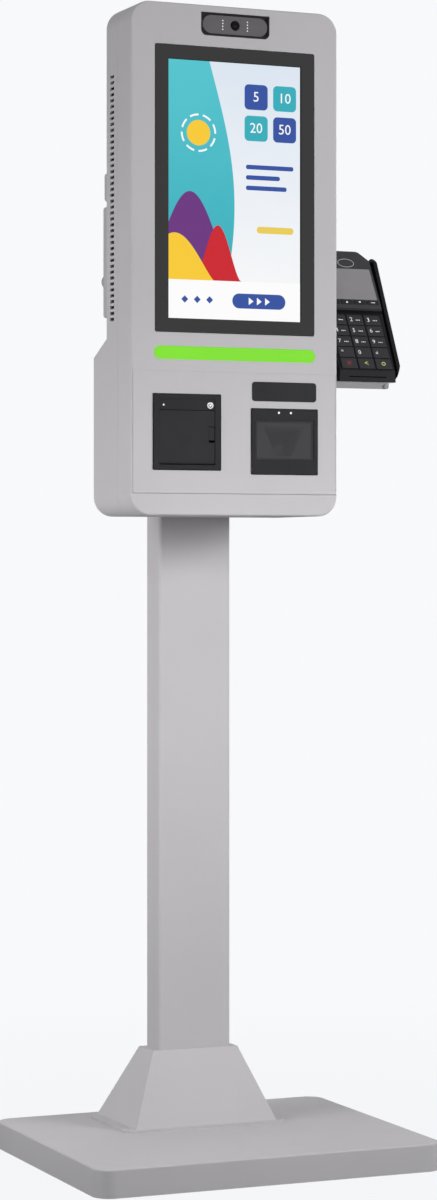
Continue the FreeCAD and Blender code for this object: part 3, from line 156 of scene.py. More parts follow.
# Bare name plate over the scanner
PLATE_LEFT = 24.2 * MM
PLATE_RIGHT = 119 * MM
PLATE_LOW = 1026 * MM
PLATE_HIGH = 1052 * MM
PLATE_CORNER = 4.3 * MM
PLATE_SINK = 0.05 * MM
PLATE_RISE = 0.9 * MM
PLATE_BEVEL = 0.35 * MM

# Face of the payment terminal: its foot, its tilt from upright, and where its raised border begins
TERMINAL_FOOT = (0.2175, -0.0305, 1.0761)
TERMINAL_TILT = math.radians(30)
BORDER_LEVEL = 1.0 * MM

# Oval near the top of the terminal's face: its middle, half its width and height, and its line
OVAL_PLACE = (4.3 * MM, 174.3 * MM)
OVAL_ACROSS = 12.7 * MM
OVAL_ALONG = 7.2 * MM
OVAL_LINE = 0.9 * MM

# Printed marks: how deep they sink in, and how far they stand out on a key and on another face
MARK_SINK = 0.03 * MM
KEY_MARK_RISE = 0.05 * MM
FACE_MARK_RISE = 0.06 * MM

# Figures on the keys: the level of their middle over the key, and their thickness
FIGURE_LEVEL = 0.01 * MM
FIGURE_DEPTH = 0.08 * MM

# Heights of the figures and signs, and how far a figure stands left of its key's middle
FIGURE_SIZE = 9 * MM
HASH_SIZE = 6 * MM
CLEAR_SIZE = 11 * MM
FIGURE_SHIFT = 6.0 * MM

# Three small bars beside a figure: size, where the first one is, and how far apart and how low they are
KEY_BAR_WIDTH = 1.7 * MM
KEY_BAR_HEIGHT = 1.3 * MM
KEY_BAR_SHIFT = 1.6 * MM
KEY_BAR_PITCH = 2.4 * MM
KEY_BAR_DROP = 0.8 * MM

# Keys of the terminal: those with a coloured sign, those with a figure, and those under the display
SIGN_KEYS = ["key_cancel", "key_clear", "key_enter"]
FIGURE_KEYS = ["key_star", "key_0", "key_hash", "key_7", "key_8", "key_9", "key_4", "key_5", "key_6",
               "key_1", "key_2", "key_3"]
SOFT_KEYS = ["key_menu", "key_up", "key_down", "key_dash"]

# Which material each CAD node takes
NODE_FINISH = {
    "paint": ["base_cover", "foot_plate", "post_cone", "post", "front_shell", "rear_shell",
              "peripheral_panel"],
    # The rear door and antenna cover take the darker copy of the paint as painted shade
    "rear_paint": ["rear_door", "antenna_cover"],
    # The bracket takes the darker copy of the paint as painted shadow of the terminal
    "bracket": ["terminal_bracket"],
    "knob": ["rear_lock"],
    "black": ["printer_door", "door_latch", "print_mechanism"],
    "optics": ["scanner_module"],
    "printer_black": ["printer_bezel"],
    "scanner_black": ["scanner_bezel"],
    "camera": ["camera_housing"],
    "terminal": ["terminal_base"],
    "terminal_face": ["terminal_cover"],
    "rubber": ["floor_pad", "cable_grommet"],
    "roller": ["platen_roller"],
    "zinc": ["mount_plate", "stand_bolts", "screen_frame", "rear_hinges", "power_supply"],
    "screw": ["case_screws"],
    "steel": ["ballast_plate"],
    "fins": ["computer"],
    "silver": ["feed_button"],
    "glass": ["screen_glass"],
    "smoke": ["scanner_window"],
    "panel": ["lcd_panel"],
    "bar": ["light_bar"],
    "board": ["light_board"],
    "paper": ["paper_roll"],
    "lens": ["camera_lens"],
    "lamp": ["indicator_lights"],
    "display": ["terminal_display"],
    "key": SIGN_KEYS + FIGURE_KEYS,
    "soft_key": SOFT_KEYS,
}


# Outlines
def rounded(width, height, radius, steps, centre=(0.0, 0.0)):
    """Outline of a rectangle with round corners, anticlockwise."""
    points = []
    for turn, (sx, sy) in enumerate(((1, 1), (-1, 1), (-1, -1), (1, -1))):
        for step in range(steps + 1):
            angle = math.radians(90 * (turn + step / steps))
            points.append((centre[0] + sx * (width / 2 - radius) + radius * math.cos(angle),
                           centre[1] + sy * (height / 2 - radius) + radius * math.sin(angle)))
    return points


def disc(radius, centre):
    """Outline of a disc."""
    steps = 48
    angles = [2 * math.pi * i / steps for i in range(steps)]
    return [(centre[0] + radius * math.cos(a), centre[1] + radius * math.sin(a)) for a in angles]


def arc_band(inner, outer, centre, start, end, steps):
    """Outline of a part of a round or oval ring; each radius is one number or one for each way."""
    inner_x, inner_y = inner if isinstance(inner, tuple) else (inner, inner)
    outer_x, outer_y = outer if isinstance(outer, tuple) else (outer, outer)
    angles = [math.radians(start + (end - start) * i / steps) for i in range(steps + 1)]
    out = [(centre[0] + outer_x * math.cos(a), centre[1] + outer_y * math.sin(a)) for a in angles]
    back = [(centre[0] + inner_x * math.cos(a), centre[1] + inner_y * math.sin(a)) for a in angles]
    return out + back[::-1]


def ring(inner, outer, centre, steps):
    """A whole ring as the outlines of its two halves."""
    return [arc_band(inner, outer, centre, start, start + 180, steps) for start in (0, 180)]


def rotated(outline, turn, centre):
    """The outline turned about its own origin and moved to a centre."""
    c, s = math.cos(math.radians(turn)), math.sin(math.radians(turn))
    return [(centre[0] + x * c - y * s, centre[1] + x * s + y * c) for x, y in outline]


# Meshes
class Plane:
    """A flat face of the object: where its origin is, and which ways are across, up and out."""

    # How far outside the face a measuring ray starts
    CAST_DISTANCE = 0.3

    def __init__(self, origin, across, up):
        self.origin = Vector(origin)
        self.across = Vector(across).normalized()
        self.up = Vector(up).normalized()
        self.out = self.across.cross(self.up)

    def point(self, x, y, level):
        return self.origin + self.across * x + self.up * y + self.out * level

    def level(self, node, x, y):
        """How far out the node's surface lies at that place."""
        tree = BVHTree.FromObject(NODES[node], bpy.context.evaluated_depsgraph_get())
        hit = tree.ray_cast(self.point(x, y, self.CAST_DISTANCE), -self.out)
        if hit[0] is None:
            raise ValueError(f"nothing of {node} at {x}, {y}")
        return self.CAST_DISTANCE - hit[3]


FRONT = Plane((0, 0, 0), (1, 0, 0), (0, 0, 1))
TERMINAL = Plane(TERMINAL_FOOT, (1, 0, 0), (0, math.sin(TERMINAL_TILT), math.cos(TERMINAL_TILT)))


def new_object(name, data):
    obj = bpy.data.objects.new(name, data)
    bpy.context.scene.collection.objects.link(obj)
    return obj


def finish_piece(obj, material, body):
    """Gives a piece its material and the body that it rides on."""
    obj.data.materials.append(material)
    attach(obj, body)


def slab(name, outlines, plane, bottom, top, material, body, bevel=0.0):
    """Flat pieces with straight walls on a plane, one closed shell for each outline."""
    verts, faces = [], []
    for outline in outlines:
        rings = [(bottom, 0.0), (top - bevel, 0.0)]
        if bevel:
            rings.append((top, bevel))
        start = len(verts)
        count = len(outline)
        mid = (sum(p[0] for p in outline) / count, sum(p[1] for p in outline) / count)
        for level, inset in rings:
            for x, y in outline:
                reach = math.hypot(x - mid[0], y - mid[1]) or 1.0
                pull = 1 - inset / reach
                inner_x, inner_y = mid[0] + (x - mid[0]) * pull, mid[1] + (y - mid[1]) * pull
                verts.append(plane.point(inner_x, inner_y, level))
        for lower in range(len(rings) - 1):
            a, b = start + lower * count, start + (lower + 1) * count
            for i in range(count):
                j = (i + 1) % count
                faces.append((a + i, a + j, b + j, b + i))
        faces.append(tuple(reversed(range(start, start + count))))
        last = start + (len(rings) - 1) * count
        faces.append(tuple(range(last, last + count)))
    mesh = bpy.data.meshes.new(name)
    mesh.from_pydata(verts, [], faces)
    mesh.validate()
    finish_piece(new_object(name, mesh), material, body)


def words(name, text, size, plane, x, y, level, depth, material, body):
    """Plain figures or signs as a raised mesh on a plane."""
    curve = bpy.data.curves.new(name + "_curve", "FONT")
    curve.body = text
    curve.size = size
    curve.align_x = "CENTER"
    curve.align_y = "CENTER"
    curve.extrude = depth / 2
    curve.resolution_u = 3
    holder = new_object(name + "_holder", curve)
    mesh = bpy.data.meshes.new_from_object(holder.evaluated_get(bpy.context.evaluated_depsgraph_get()))
    bpy.data.objects.remove(holder)
    place = plane.point(x, y, level)
    rows = [(plane.across[i], plane.up[i], plane.out[i], place[i]) for i in range(3)]
    mesh.transform(Matrix((*rows, (0, 0, 0, 1))))
    mesh.materials.clear()
    mesh.name = name
    finish_piece(new_object(name, mesh), material, body)


# Material helpers
def linear(colour):
    """An sRGB colour from 0 to 255 as linear red, green, blue and alpha."""
    out = []
    for part in colour:
        share = part / 255
        out.append(share / 12.92 if share <= 0.04045 else ((share + 0.055) / 1.055) ** 2.4)
    return (*out, 1.0)


def tinted(colour, share):
    """A linear colour made lighter or darker by a share."""
    return (*(min(1.0, part * share) for part in colour[:3]), 1.0)


class Nodes:
    """The node tree of a material or a world, with short calls for adding and linking nodes."""

    # Colour sockets of a mix node, which lists those for numbers and vectors before them
    MIX_FIRST = 6
    MIX_SECOND = 7
    MIX_RESULT = 2

    def __init__(self, owner, output="ShaderNodeOutputMaterial", place="Object"):
        owner.use_nodes = True
        self.owner = owner
        self.tree = owner.node_tree
        self.tree.nodes.clear()
        self.output = self.add(output)
        self.place = self.add("ShaderNodeTexCoord").outputs[place]

    def add(self, kind, **settings):
        node = self.tree.nodes.new(kind)
        for key, value in settings.items():
            setattr(node, key, value)
        return node

    def join(self, source, target):
        self.tree.links.new(source, target)

    def put(self, socket, value):
        """Links a value to a socket, or sets it there when it is a plain number or colour."""
        if isinstance(value, bpy.types.NodeSocket):
            self.join(value, socket)
        else:
            socket.default_value = value

    def noise(self, scale, detail=2.0, roughness=0.5):
        node = self.add("ShaderNodeTexNoise")
        node.inputs["Scale"].default_value = scale
        node.inputs["Detail"].default_value = detail
        node.inputs["Roughness"].default_value = roughness
        self.join(self.place, node.inputs["Vector"])
        return node.outputs["Fac"]

    def spread(self, value, low, high, from_low=0.3, from_high=0.7):
        """Maps a value from one span to another, clamped."""
        node = self.add("ShaderNodeMapRange")
        node.inputs["From Min"].default_value = from_low
        node.inputs["From Max"].default_value = from_high
        node.inputs["To Min"].default_value = low
        node.inputs["To Max"].default_value = high
        self.join(value, node.inputs["Value"])
        return node.outputs["Result"]

    def blend(self, fac, first, second):
        """One colour at 0 and another at 1."""
        node = self.add("ShaderNodeMix", data_type="RGBA")
        self.put(node.inputs[0], fac)
        self.put(node.inputs[self.MIX_FIRST], first)
        self.put(node.inputs[self.MIX_SECOND], second)
        return node.outputs[self.MIX_RESULT]

    def mottle(self, colour, darker, lighter, scale=30.0, detail=3.0):
        """An sRGB colour that drifts between a darker and a lighter share of itself."""
        share = self.spread(self.noise(scale, detail), 0.0, 1.0)
        return self.blend(share, tinted(linear(colour), darker), tinted(linear(colour), lighter))

    def maths(self, operation, first, second=0.0):
        node = self.add("ShaderNodeMath", operation=operation)
        self.put(node.inputs[0], first)
        self.put(node.inputs[1], second)
        return node.outputs[0]

    def vector_maths(self, operation, first, second=(0.0, 0.0, 0.0)):
        node = self.add("ShaderNodeVectorMath", operation=operation)
        self.put(node.inputs[0], first)
        self.put(node.inputs[1], second)
        return node.outputs["Value" if operation in ("LENGTH", "DOT_PRODUCT") else "Vector"]

    def axis(self, name):
        node = self.add("ShaderNodeSeparateXYZ")
        self.join(self.place, node.inputs[0])
        return node.outputs[name]

    def away(self, name, middle):
        """How far a place lies from a middle along one axis."""
        return self.maths("ABSOLUTE", self.maths("SUBTRACT", self.axis(name), middle))

    def bump(self, height, strength, distance, before=None):
        node = self.add("ShaderNodeBump")
        node.inputs["Strength"].default_value = strength
        node.inputs["Distance"].default_value = distance
        self.join(height, node.inputs["Height"])
        if before is not None:
            self.join(before, node.inputs["Normal"])
        return node.outputs["Normal"]

    def surface(self, colour, roughness, metallic=0.0, normal=None, glow=None, glow_strength=1.0,
                shine=0.5):
        node = self.add("ShaderNodeBsdfPrincipled")
        self.put(node.inputs["Base Color"], colour)
        self.put(node.inputs["Roughness"], roughness)
        node.inputs["Metallic"].default_value = metallic
        node.inputs["Specular IOR Level"].default_value = shine
        if normal is not None:
            self.join(normal, node.inputs["Normal"])
        if glow is not None:
            self.put(node.inputs["Emission Color"], glow)
            node.inputs["Emission Strength"].default_value = glow_strength
        return node.outputs[0]

    def grained(self, colour, grain, roughness, strength, depth, shine):
        """A surface with a fine moulded grain in its gloss and its shape."""
        height = self.noise(grain, detail=3.0, roughness=0.6)
        return self.surface(colour, self.spread(height, *roughness), shine=shine,
                            normal=self.bump(height, strength, depth))

    def coloured(self, kind, colour):
        """A shader that has a colour and nothing else to set."""
        node = self.add(kind)
        node.inputs["Color"].default_value = colour
        return node

    def mixed(self, fac, first, second):
        """One shader at 0 and another at 1."""
        node = self.add("ShaderNodeMixShader")
        self.put(node.inputs[0], fac)
        self.join(first, node.inputs[1])
        self.join(second, node.inputs[2])
        return node.outputs[0]

    def shown_or_lit(self, plain, shown):
        """Shown to the camera, in reflections and through panes, and plain where it lights the object."""
        rays = self.add("ShaderNodeLightPath").outputs
        seen = self.maths("MAXIMUM", rays["Is Camera Ray"], rays["Is Glossy Ray"])
        return self.mixed(self.maths("MAXIMUM", seen, rays["Is Transmission Ray"]), plain, shown)

    def close(self, shader):
        self.join(shader, self.output.inputs["Surface"])
        return self.owner


def new_material(name):
    """The nodes of a new material."""
    return Nodes(bpy.data.materials.new(name))


# Materials of the housing and its fittings
def powder_coat(name, colour):
    """Satin powder coat: faint orange peel, fine grain and a very slight unevenness of colour."""
    n = new_material(name)
    grain = n.spread(n.noise(2600.0), 0.0, 1.0)
    tone = n.mottle(colour, 0.975, 1.02, scale=6.0)
    tone = n.blend(n.maths("MULTIPLY", grain, 0.12), tone, tinted(linear(colour), 0.9))
    peel = n.bump(n.noise(420.0), strength=0.16, distance=0.0004)
    fine = n.bump(n.noise(2600.0, detail=1.0), strength=0.1, distance=0.00012, before=peel)
    return n.close(n.surface(tone, n.spread(n.noise(40.0, detail=3.0), 0.6, 0.7), normal=fine, shine=0.06))


def moulded(name, colour, roughness=(0.45, 0.6), grain=1800.0, depth=0.00012, shine=0.12, strength=0.3):
    """Moulded plastic with a spark-eroded texture."""
    n = new_material(name)
    return n.close(n.grained(n.mottle(colour, 0.92, 1.1), grain, roughness, strength, depth, shine))


def printed(name, colour, shine=0.3):
    """Print on a key, a button or a face."""
    return moulded(name, colour, roughness=(0.5, 0.6), grain=3000.0, depth=0.00003, shine=shine)


def bezel_plastic(name, node):
    """Black bezel moulding with painted shade along its bevelled outline."""
    n = new_material(name)
    low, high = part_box(node)
    middle = (low + high) / 2
    side = n.maths("GREATER_THAN", n.away("X", middle.x), (high.x - low.x) / 2 - BEZEL_SHADE_WIDTH)
    end = n.maths("GREATER_THAN", n.away("Z", middle.z), (high.z - low.z) / 2 - BEZEL_SHADE_WIDTH)
    # Painted shade: the band along the bezel's outline is darkened to stand for shade in its bevel
    painted_edge_shade = tinted(linear(BLACK_PLASTIC), 0.3)
    tone = n.blend(n.maths("MAXIMUM", side, end), n.mottle(BLACK_PLASTIC, 0.92, 1.1), painted_edge_shade)
    return n.close(n.grained(tone, grain=1800.0, roughness=(0.48, 0.6), strength=0.3,
                             depth=0.00012, shine=0.1))


def camera_plastic():
    """Black recess with a lighter grey stadium-shaped face round the lens."""
    n = new_material("camera_plastic")
    low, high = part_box("camera_lens")
    over = n.maths("MAXIMUM", n.maths("SUBTRACT", n.away("X", 0.0), PILL_STRAIGHT), 0.0)
    rise = n.away("Z", (low.z + high.z) / 2)
    squares = n.maths("ADD", n.maths("MULTIPLY", over, over), n.maths("MULTIPLY", rise, rise))
    inside = n.maths("LESS_THAN", n.maths("SQRT", squares), PILL_RADIUS)
    tone = n.blend(inside, n.mottle(BLACK_PLASTIC, 0.75, 0.9), n.mottle(PILL_GREY, 0.95, 1.06))
    return n.close(n.grained(tone, grain=2200.0, roughness=(0.42, 0.55), strength=0.25,
                             depth=0.00008, shine=0.14))


def lens_glass():
    """Coated camera lens: near black, polished, with a faint violet painted reflection of its coating at
    its rim.
    """
    n = new_material("lens_glass")
    rim = n.add("ShaderNodeLayerWeight")
    rim.inputs["Blend"].default_value = 0.35
    # Painted reflection: the colour turns violet where the lens faces away, standing for its coating's
    # sheen
    tone = n.blend(rim.outputs["Facing"], linear(LENS_BLACK), linear(LENS_PAINTED_REFLECTION))
    return n.close(n.surface(tone, n.spread(n.noise(80.0), 0.06, 0.12), shine=0.12))


def cover_glass():
    """Cover glass: black printed border round a clear window, polished all over."""
    n = new_material("cover_glass")
    window = n.maths("LESS_THAN", n.away("X", 0.0), SCREEN_HALF)
    window = n.maths("MULTIPLY", window, n.maths("GREATER_THAN", n.axis("Z"), SCREEN_LOW))
    window = n.maths("MULTIPLY", window, n.maths("LESS_THAN", n.axis("Z"), SCREEN_HIGH))
    haze = n.spread(n.noise(35.0, detail=4.0), 0.05, 0.11)
    clear = n.coloured("ShaderNodeBsdfTransparent", (0.98, 0.98, 0.98, 1.0))
    gloss = n.coloured("ShaderNodeBsdfGlossy", (1.0, 1.0, 1.0, 1.0))
    n.join(haze, gloss.inputs["Roughness"])
    edge = n.add("ShaderNodeLayerWeight")
    edge.inputs["Blend"].default_value = 0.08
    mirror = n.maths("MULTIPLY", edge.outputs["Fresnel"], 0.25)
    pane = n.mixed(mirror, clear.outputs[0], gloss.outputs[0])
    return n.close(n.mixed(window, n.surface(linear(BEZEL_BLACK), haze, shine=0.42), pane))


def light_diffuser():
    """Translucent light bar, lit from behind by a row of lamps."""
    n = new_material("light_diffuser")
    tone = n.mottle(LIGHT_GREEN, 0.96, 1.04, scale=9.0, detail=1.0)
    body = tinted(linear(LIGHT_GREEN), 0.22)
    normal = n.bump(n.noise(1500.0), strength=0.15, distance=0.0001)
    return n.close(n.surface(body, n.spread(n.noise(200.0), 0.35, 0.5), normal=normal, shine=0.08,
                             glow=tone, glow_strength=0.74))


def smoked_window():
    """Smoked acrylic: dark, glossy, and clear enough to show the optics behind it."""
    n = new_material("smoked_window")
    body = n.surface(linear(SMOKE), n.spread(n.noise(50.0, detail=4.0), 0.1, 0.18))
    clear = n.coloured("ShaderNodeBsdfTransparent", (0.8, 0.79, 0.8, 1.0))
    return n.close(n.mixed(0.42, body, clear.outputs[0]))


def scanner_optics_painted_glow():
    """Optics behind the smoked window, painted as a glow though they are no lamp: painted shade dims them
    the deeper they lie, with rings round the lens.
    """
    n = new_material("scanner_optics_painted_glow")
    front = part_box("scanner_module")[0].y
    # Painted shade: the glow dims from the pale front towards the painted shade colour the deeper the
    # optics lie
    near = n.spread(n.axis("Y"), 1.0, 0.0, front, front + OPTICS_SHADE_DEPTH)
    tone = n.blend(near, linear(OPTICS_PAINTED_SHADE), linear(OPTICS_PALE))
    flat = n.vector_maths("MULTIPLY", n.vector_maths("SUBTRACT", n.place, SCANNER_LENS), (1.0, 0.0, 1.0))
    radius = n.vector_maths("LENGTH", flat)
    for edge, colour in ((LENS_RIM, OPTICS_RIM), (LENS_RING, OPTICS_PALE), (LENS_EYE, OPTICS_EYE)):
        tone = n.blend(n.spread(radius, 1.0, 0.0, edge, edge + LENS_FADE), tone, linear(colour))
    # The optics glow though they are no lamp, as painted light seen through the smoked window
    grit = n.noise(1500.0, detail=3.0, roughness=0.6)
    return n.close(n.surface(linear(BLACK_PLASTIC), n.spread(grit, 0.5, 0.6), shine=0.1,
                             normal=n.bump(grit, strength=0.3, distance=0.0001),
                             glow=tone, glow_strength=0.8))


def terminal_plastic():
    """Near-black moulding of the terminal with a lighter raised border round its display."""
    n = new_material("terminal_cover_plastic")
    out = n.vector_maths("DOT_PRODUCT", n.place, TERMINAL.out)
    level = n.maths("SUBTRACT", out, TERMINAL.origin.dot(TERMINAL.out))
    raised = n.maths("GREATER_THAN", level, BORDER_LEVEL)
    tone = n.blend(raised, n.mottle(TERMINAL_BLACK, 0.9, 1.1), n.mottle(RAISED_GREY, 0.93, 1.07))
    return n.close(n.grained(tone, grain=1500.0, roughness=(0.45, 0.58), strength=0.3,
                             depth=0.00014, shine=0.1))


def smooth_plastic(name, colour, roughness):
    """Polished plastic with slight waves and a few faint scuffs in its gloss."""
    n = new_material(name)
    scuff = n.spread(n.noise(90.0, detail=5.0, roughness=0.7), roughness * 0.8, roughness * 1.6)
    wave = n.bump(n.noise(60.0, detail=1.0), strength=0.04, distance=0.0004)
    tone = n.mottle(colour, 0.95, 1.06, scale=25.0, detail=2.0)
    return n.close(n.surface(tone, scuff, normal=wave, shine=0.4))


# Metals, rubber, board and paper
def metal(name, colour, roughness, along, scale):
    """Brushed or plated metal: streaks along one way and a mottled gloss."""
    n = new_material(name)
    stretch = n.add("ShaderNodeMapping")
    stretch.inputs["Scale"].default_value = along
    n.join(n.place, stretch.inputs["Vector"])
    streak = n.add("ShaderNodeTexNoise")
    streak.inputs["Scale"].default_value = scale
    streak.inputs["Detail"].default_value = 4.0
    n.join(stretch.outputs[0], streak.inputs["Vector"])
    streak = streak.outputs["Fac"]
    tone = n.blend(streak, tinted(linear(colour), 0.9), tinted(linear(colour), 1.08))
    return n.close(n.surface(tone, n.spread(streak, roughness * 0.8, roughness * 1.3), metallic=1.0,
                             normal=n.bump(streak, strength=0.12, distance=0.0001)))


def rubber(name, colour):
    """Dull rubber with a fine matt grain."""
    n = new_material(name)
    tone = n.blend(n.noise(120.0, detail=3.0), tinted(linear(colour), 0.85), tinted(linear(colour), 1.2))
    return n.close(n.surface(tone, n.spread(n.noise(900.0), 0.75, 0.92), shine=0.25,
                             normal=n.bump(n.noise(1500.0), strength=0.3, distance=0.0002)))


def circuit_board():
    """Green board with a fine pattern of tracks."""
    n = new_material("circuit_board")
    cells = n.add("ShaderNodeTexVoronoi", distance="MANHATTAN")
    cells.inputs["Scale"].default_value = 240.0
    n.join(n.place, cells.inputs["Vector"])
    cells = cells.outputs["Distance"]
    tone = n.blend(n.spread(cells, 0.0, 1.0, 0.2, 0.5), linear(BOARD_GREEN), linear(TRACK_GREEN))
    return n.close(n.surface(tone, n.spread(n.noise(400.0), 0.3, 0.45),
                             normal=n.bump(cells, strength=0.2, distance=0.0001)))


def thermal_paper():
    """Wound thermal paper: white, with the turns showing on the roll's ends."""
    n = new_material("thermal_paper")
    low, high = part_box("paper_roll")
    wave = n.add("ShaderNodeTexWave", wave_type="RINGS", rings_direction="X")
    wave.inputs["Scale"].default_value = 900.0
    n.join(n.vector_maths("SUBTRACT", n.place, (low + high) / 2), wave.inputs["Vector"])
    wave = wave.outputs["Fac"]
    return n.close(n.surface(n.blend(wave, linear(PAPER_EDGE), linear(PAPER_WHITE)),
                             n.spread(n.noise(300.0), 0.6, 0.75), shine=0.3,
                             normal=n.bump(wave, strength=0.08, distance=0.0001)))


# Lit colours
def lit(name, colour, strength=1.0):
    """A lit colour of the screen or of a lamp, with a very faint pixel grain."""
    n = new_material(name)
    base = linear(colour)
    tone = n.blend(n.noise(1400.0, detail=1.0), tinted(base, 0.985), tinted(base, 1.015))
    return n.close(n.surface((0.0, 0.0, 0.0, 1.0), 0.6, glow=tone, glow_strength=strength, shine=0.0))


def lit_gradient(name, high, low, top, bottom):
    """A lit field that changes from one colour to another from its top to its bottom."""
    n = new_material(name)
    grain = n.spread(n.noise(18.0), -0.05, 0.05)
    share = n.maths("ADD", n.spread(n.axis("Z"), 0.0, 1.0, bottom, top), grain)
    tone = n.blend(share, linear(low), linear(high))
    return n.close(n.surface((0.0, 0.0, 0.0, 1.0), 0.6, glow=tone, shine=0.0))


# Every material and where it goes
def make_materials():
    """All materials by a plain name."""
    even = (8.0, 8.0, 8.0)
    return {
        "paint": powder_coat("powder_coat", PAINT),
        "rear_paint": powder_coat("rear_cover_coat_painted_shade", REAR_SHADED_GREY),
        "bracket": powder_coat("bracket_coat_painted_shade", BRACKET_SHADED_GREY),
        "knob": moulded("grey_knob", KNOB_GREY, roughness=(0.4, 0.5), grain=1500.0, depth=0.0001,
                        shine=0.06),
        "black": moulded("black_plastic", BLACK_PLASTIC),
        "printer_black": bezel_plastic("printer_bezel_plastic", "printer_bezel"),
        "scanner_black": bezel_plastic("scanner_bezel_plastic", "scanner_bezel"),
        "camera": camera_plastic(),
        "lens": lens_glass(),
        "lamp": lit("lamp_white", LAMP_WHITE, strength=1.3),
        "glass": cover_glass(),
        "bar": light_diffuser(),
        "smoke": smoked_window(),
        "optics": scanner_optics_painted_glow(),
        "plate": moulded("bare_name_plate", BLACK_PLASTIC, roughness=(0.34, 0.4), grain=3000.0,
                         depth=0.00003, strength=0.15),
        "terminal": moulded("terminal_base_plastic", TERMINAL_BASE_BLACK, roughness=(0.42, 0.55),
                            grain=1500.0, depth=0.00014, shine=0.1),
        "terminal_face": terminal_plastic(),
        "key": moulded("key_plastic", KEY_GREY, roughness=(0.42, 0.52), grain=2400.0, depth=0.00008,
                       shine=0.14),
        "soft_key": moulded("soft_key_plastic", SOFT_KEY_GREY, roughness=(0.42, 0.52), grain=2400.0,
                            depth=0.00008),
        "display": smooth_plastic("terminal_display_glass", DISPLAY_GREY, roughness=0.14),
        "panel": smooth_plastic("display_panel", PANEL_BLACK, roughness=0.3),
        "mark": printed("printed_white", MARK_WHITE),
        "mark_red": printed("printed_red", MARK_RED),
        "mark_yellow": printed("printed_yellow", MARK_YELLOW),
        "mark_green": printed("printed_green", MARK_GREEN),
        "mark_grey": printed("printed_grey", MARK_GREY),
        "mark_dark": printed("printed_dark", MARK_DARK, shine=0.1),
        "rubber": rubber("floor_rubber", RUBBER_BLACK),
        "roller": rubber("roller_rubber", ROLLER_GREY),
        "zinc": metal("zinc_plate", ZINC, roughness=0.4, along=even, scale=30.0),
        "screw": metal("screw_zinc", SCREW_GREY, roughness=0.7, along=even, scale=30.0),
        "steel": metal("steel_plate", STEEL, roughness=0.45, along=(1.0, 30.0, 1.0), scale=40.0),
        "fins": metal("anodised_fins", FIN_GREY, roughness=0.42, along=(30.0, 1.0, 1.0), scale=40.0),
        "silver": metal("silver_cap", SILVER, roughness=0.4, along=(6.0, 6.0, 6.0), scale=80.0),
        "board": circuit_board(),
        "paper": thermal_paper(),
    }


def dress_nodes(m):
    """Gives every CAD node its material."""
    for finish, names in NODE_FINISH.items():
        for name in names:
            NODES[name].data.materials.clear()
            NODES[name].data.materials.append(m[finish])


# Screen picture: a plain generic page in flat colours, each layer a hair in front of the one behind
def show(name, outlines, material, layer):
    """One flat layer of the page."""
    level = -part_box("lcd_panel")[0].y + LAYER_STEP * layer
    top = level + LAYER_STEP * LAYER_FILL
    slab("picture_" + name, outlines, FRONT, level - LAYER_SINK, top, material, "kiosk")


def page_fields():
    """Pale page with a teal field at its left, bounded by a slow curve."""
    middle = (0, (SCREEN_LOW + SCREEN_HIGH) / 2)
    page = rounded(2 * SCREEN_HALF, SCREEN_HIGH - SCREEN_LOW, PAGE_CORNER, 1, middle)
    show("page", [page], lit_gradient("screen_pale", PALE_HIGH, PALE_LOW, SCREEN_HIGH, STRIP_TOP), 0)
    edge, swing, lean = -22 * MM, 26 * MM, 10 * MM
    curve = []
    for i in range(PAGE_STEPS + 1):
        share = i / PAGE_STEPS
        x = edge + swing * math.sin(math.pi * (0.15 + 0.9 * share)) - lean * share
        curve.append((x, STRIP_TOP + (SCREEN_HIGH - STRIP_TOP) * share))
    show("teal", [[(-SCREEN_HALF, STRIP_TOP)] + curve + [(-SCREEN_HALF, SCREEN_HIGH)]],
         lit_gradient("screen_teal", TEAL_HIGH, TEAL_LOW, SCREEN_HIGH, STRIP_TOP), 1)


def page_hill(name, left, right, height, sharpness, colour, layer):
    """A smooth hump on the strip, cut off at the screen's left edge."""
    start = max(0.0, (-SCREEN_HALF - left) / (right - left))
    points = []
    for i in range(PAGE_STEPS + 1):
        share = start + (1 - start) * i / PAGE_STEPS
        rise = height * math.sin(math.pi * share) ** sharpness
        points.append((left + (right - left) * share, STRIP_TOP + rise))
    outline = [(points[0][0], STRIP_TOP)] + points + [(points[-1][0], STRIP_TOP)]
    show(name + "_hill", [outline], lit("screen_" + name, colour), layer)


def page_sun():
    """A disc in a ring of eight dashes."""
    centre = (-52 * MM, SCREEN_HIGH - 96 * MM)
    radius, ray_inner, ray_outer = 17 * MM, 23 * MM, 25.5 * MM
    show("sun", [disc(radius, centre)], lit("screen_sun", SUN_YELLOW), 2)
    rays = [arc_band(ray_inner, ray_outer, centre, start, start + 30, 8) for start in range(0, 360, 45)]
    show("sun_rays", rays, lit("screen_white", WHITE), 2)


def page_tiles(blue, white):
    """Four tiles with plain numbers, two by two."""
    teal = lit("screen_tile_teal", TEAL_LOW)
    left, top, pitch = 32 * MM, SCREEN_HIGH - 44 * MM, 42 * MM
    tile, corner, figure_height = 34 * MM, 6 * MM, 19 * MM
    level, depth = -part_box("lcd_panel")[0].y + 0.17 * MM, 0.04 * MM
    for i, amount in enumerate(("5", "10", "20", "50")):
        column, row = i % 2, i // 2
        x, z = left + column * pitch, top - row * pitch
        colour = teal if (column + row) % 2 else blue
        show("tile_" + amount, [rounded(tile, tile, corner, 6, (x, z))], colour, 2)
        words("picture_amount_" + amount, amount, figure_height, FRONT, x, z, level, depth, white, "kiosk")


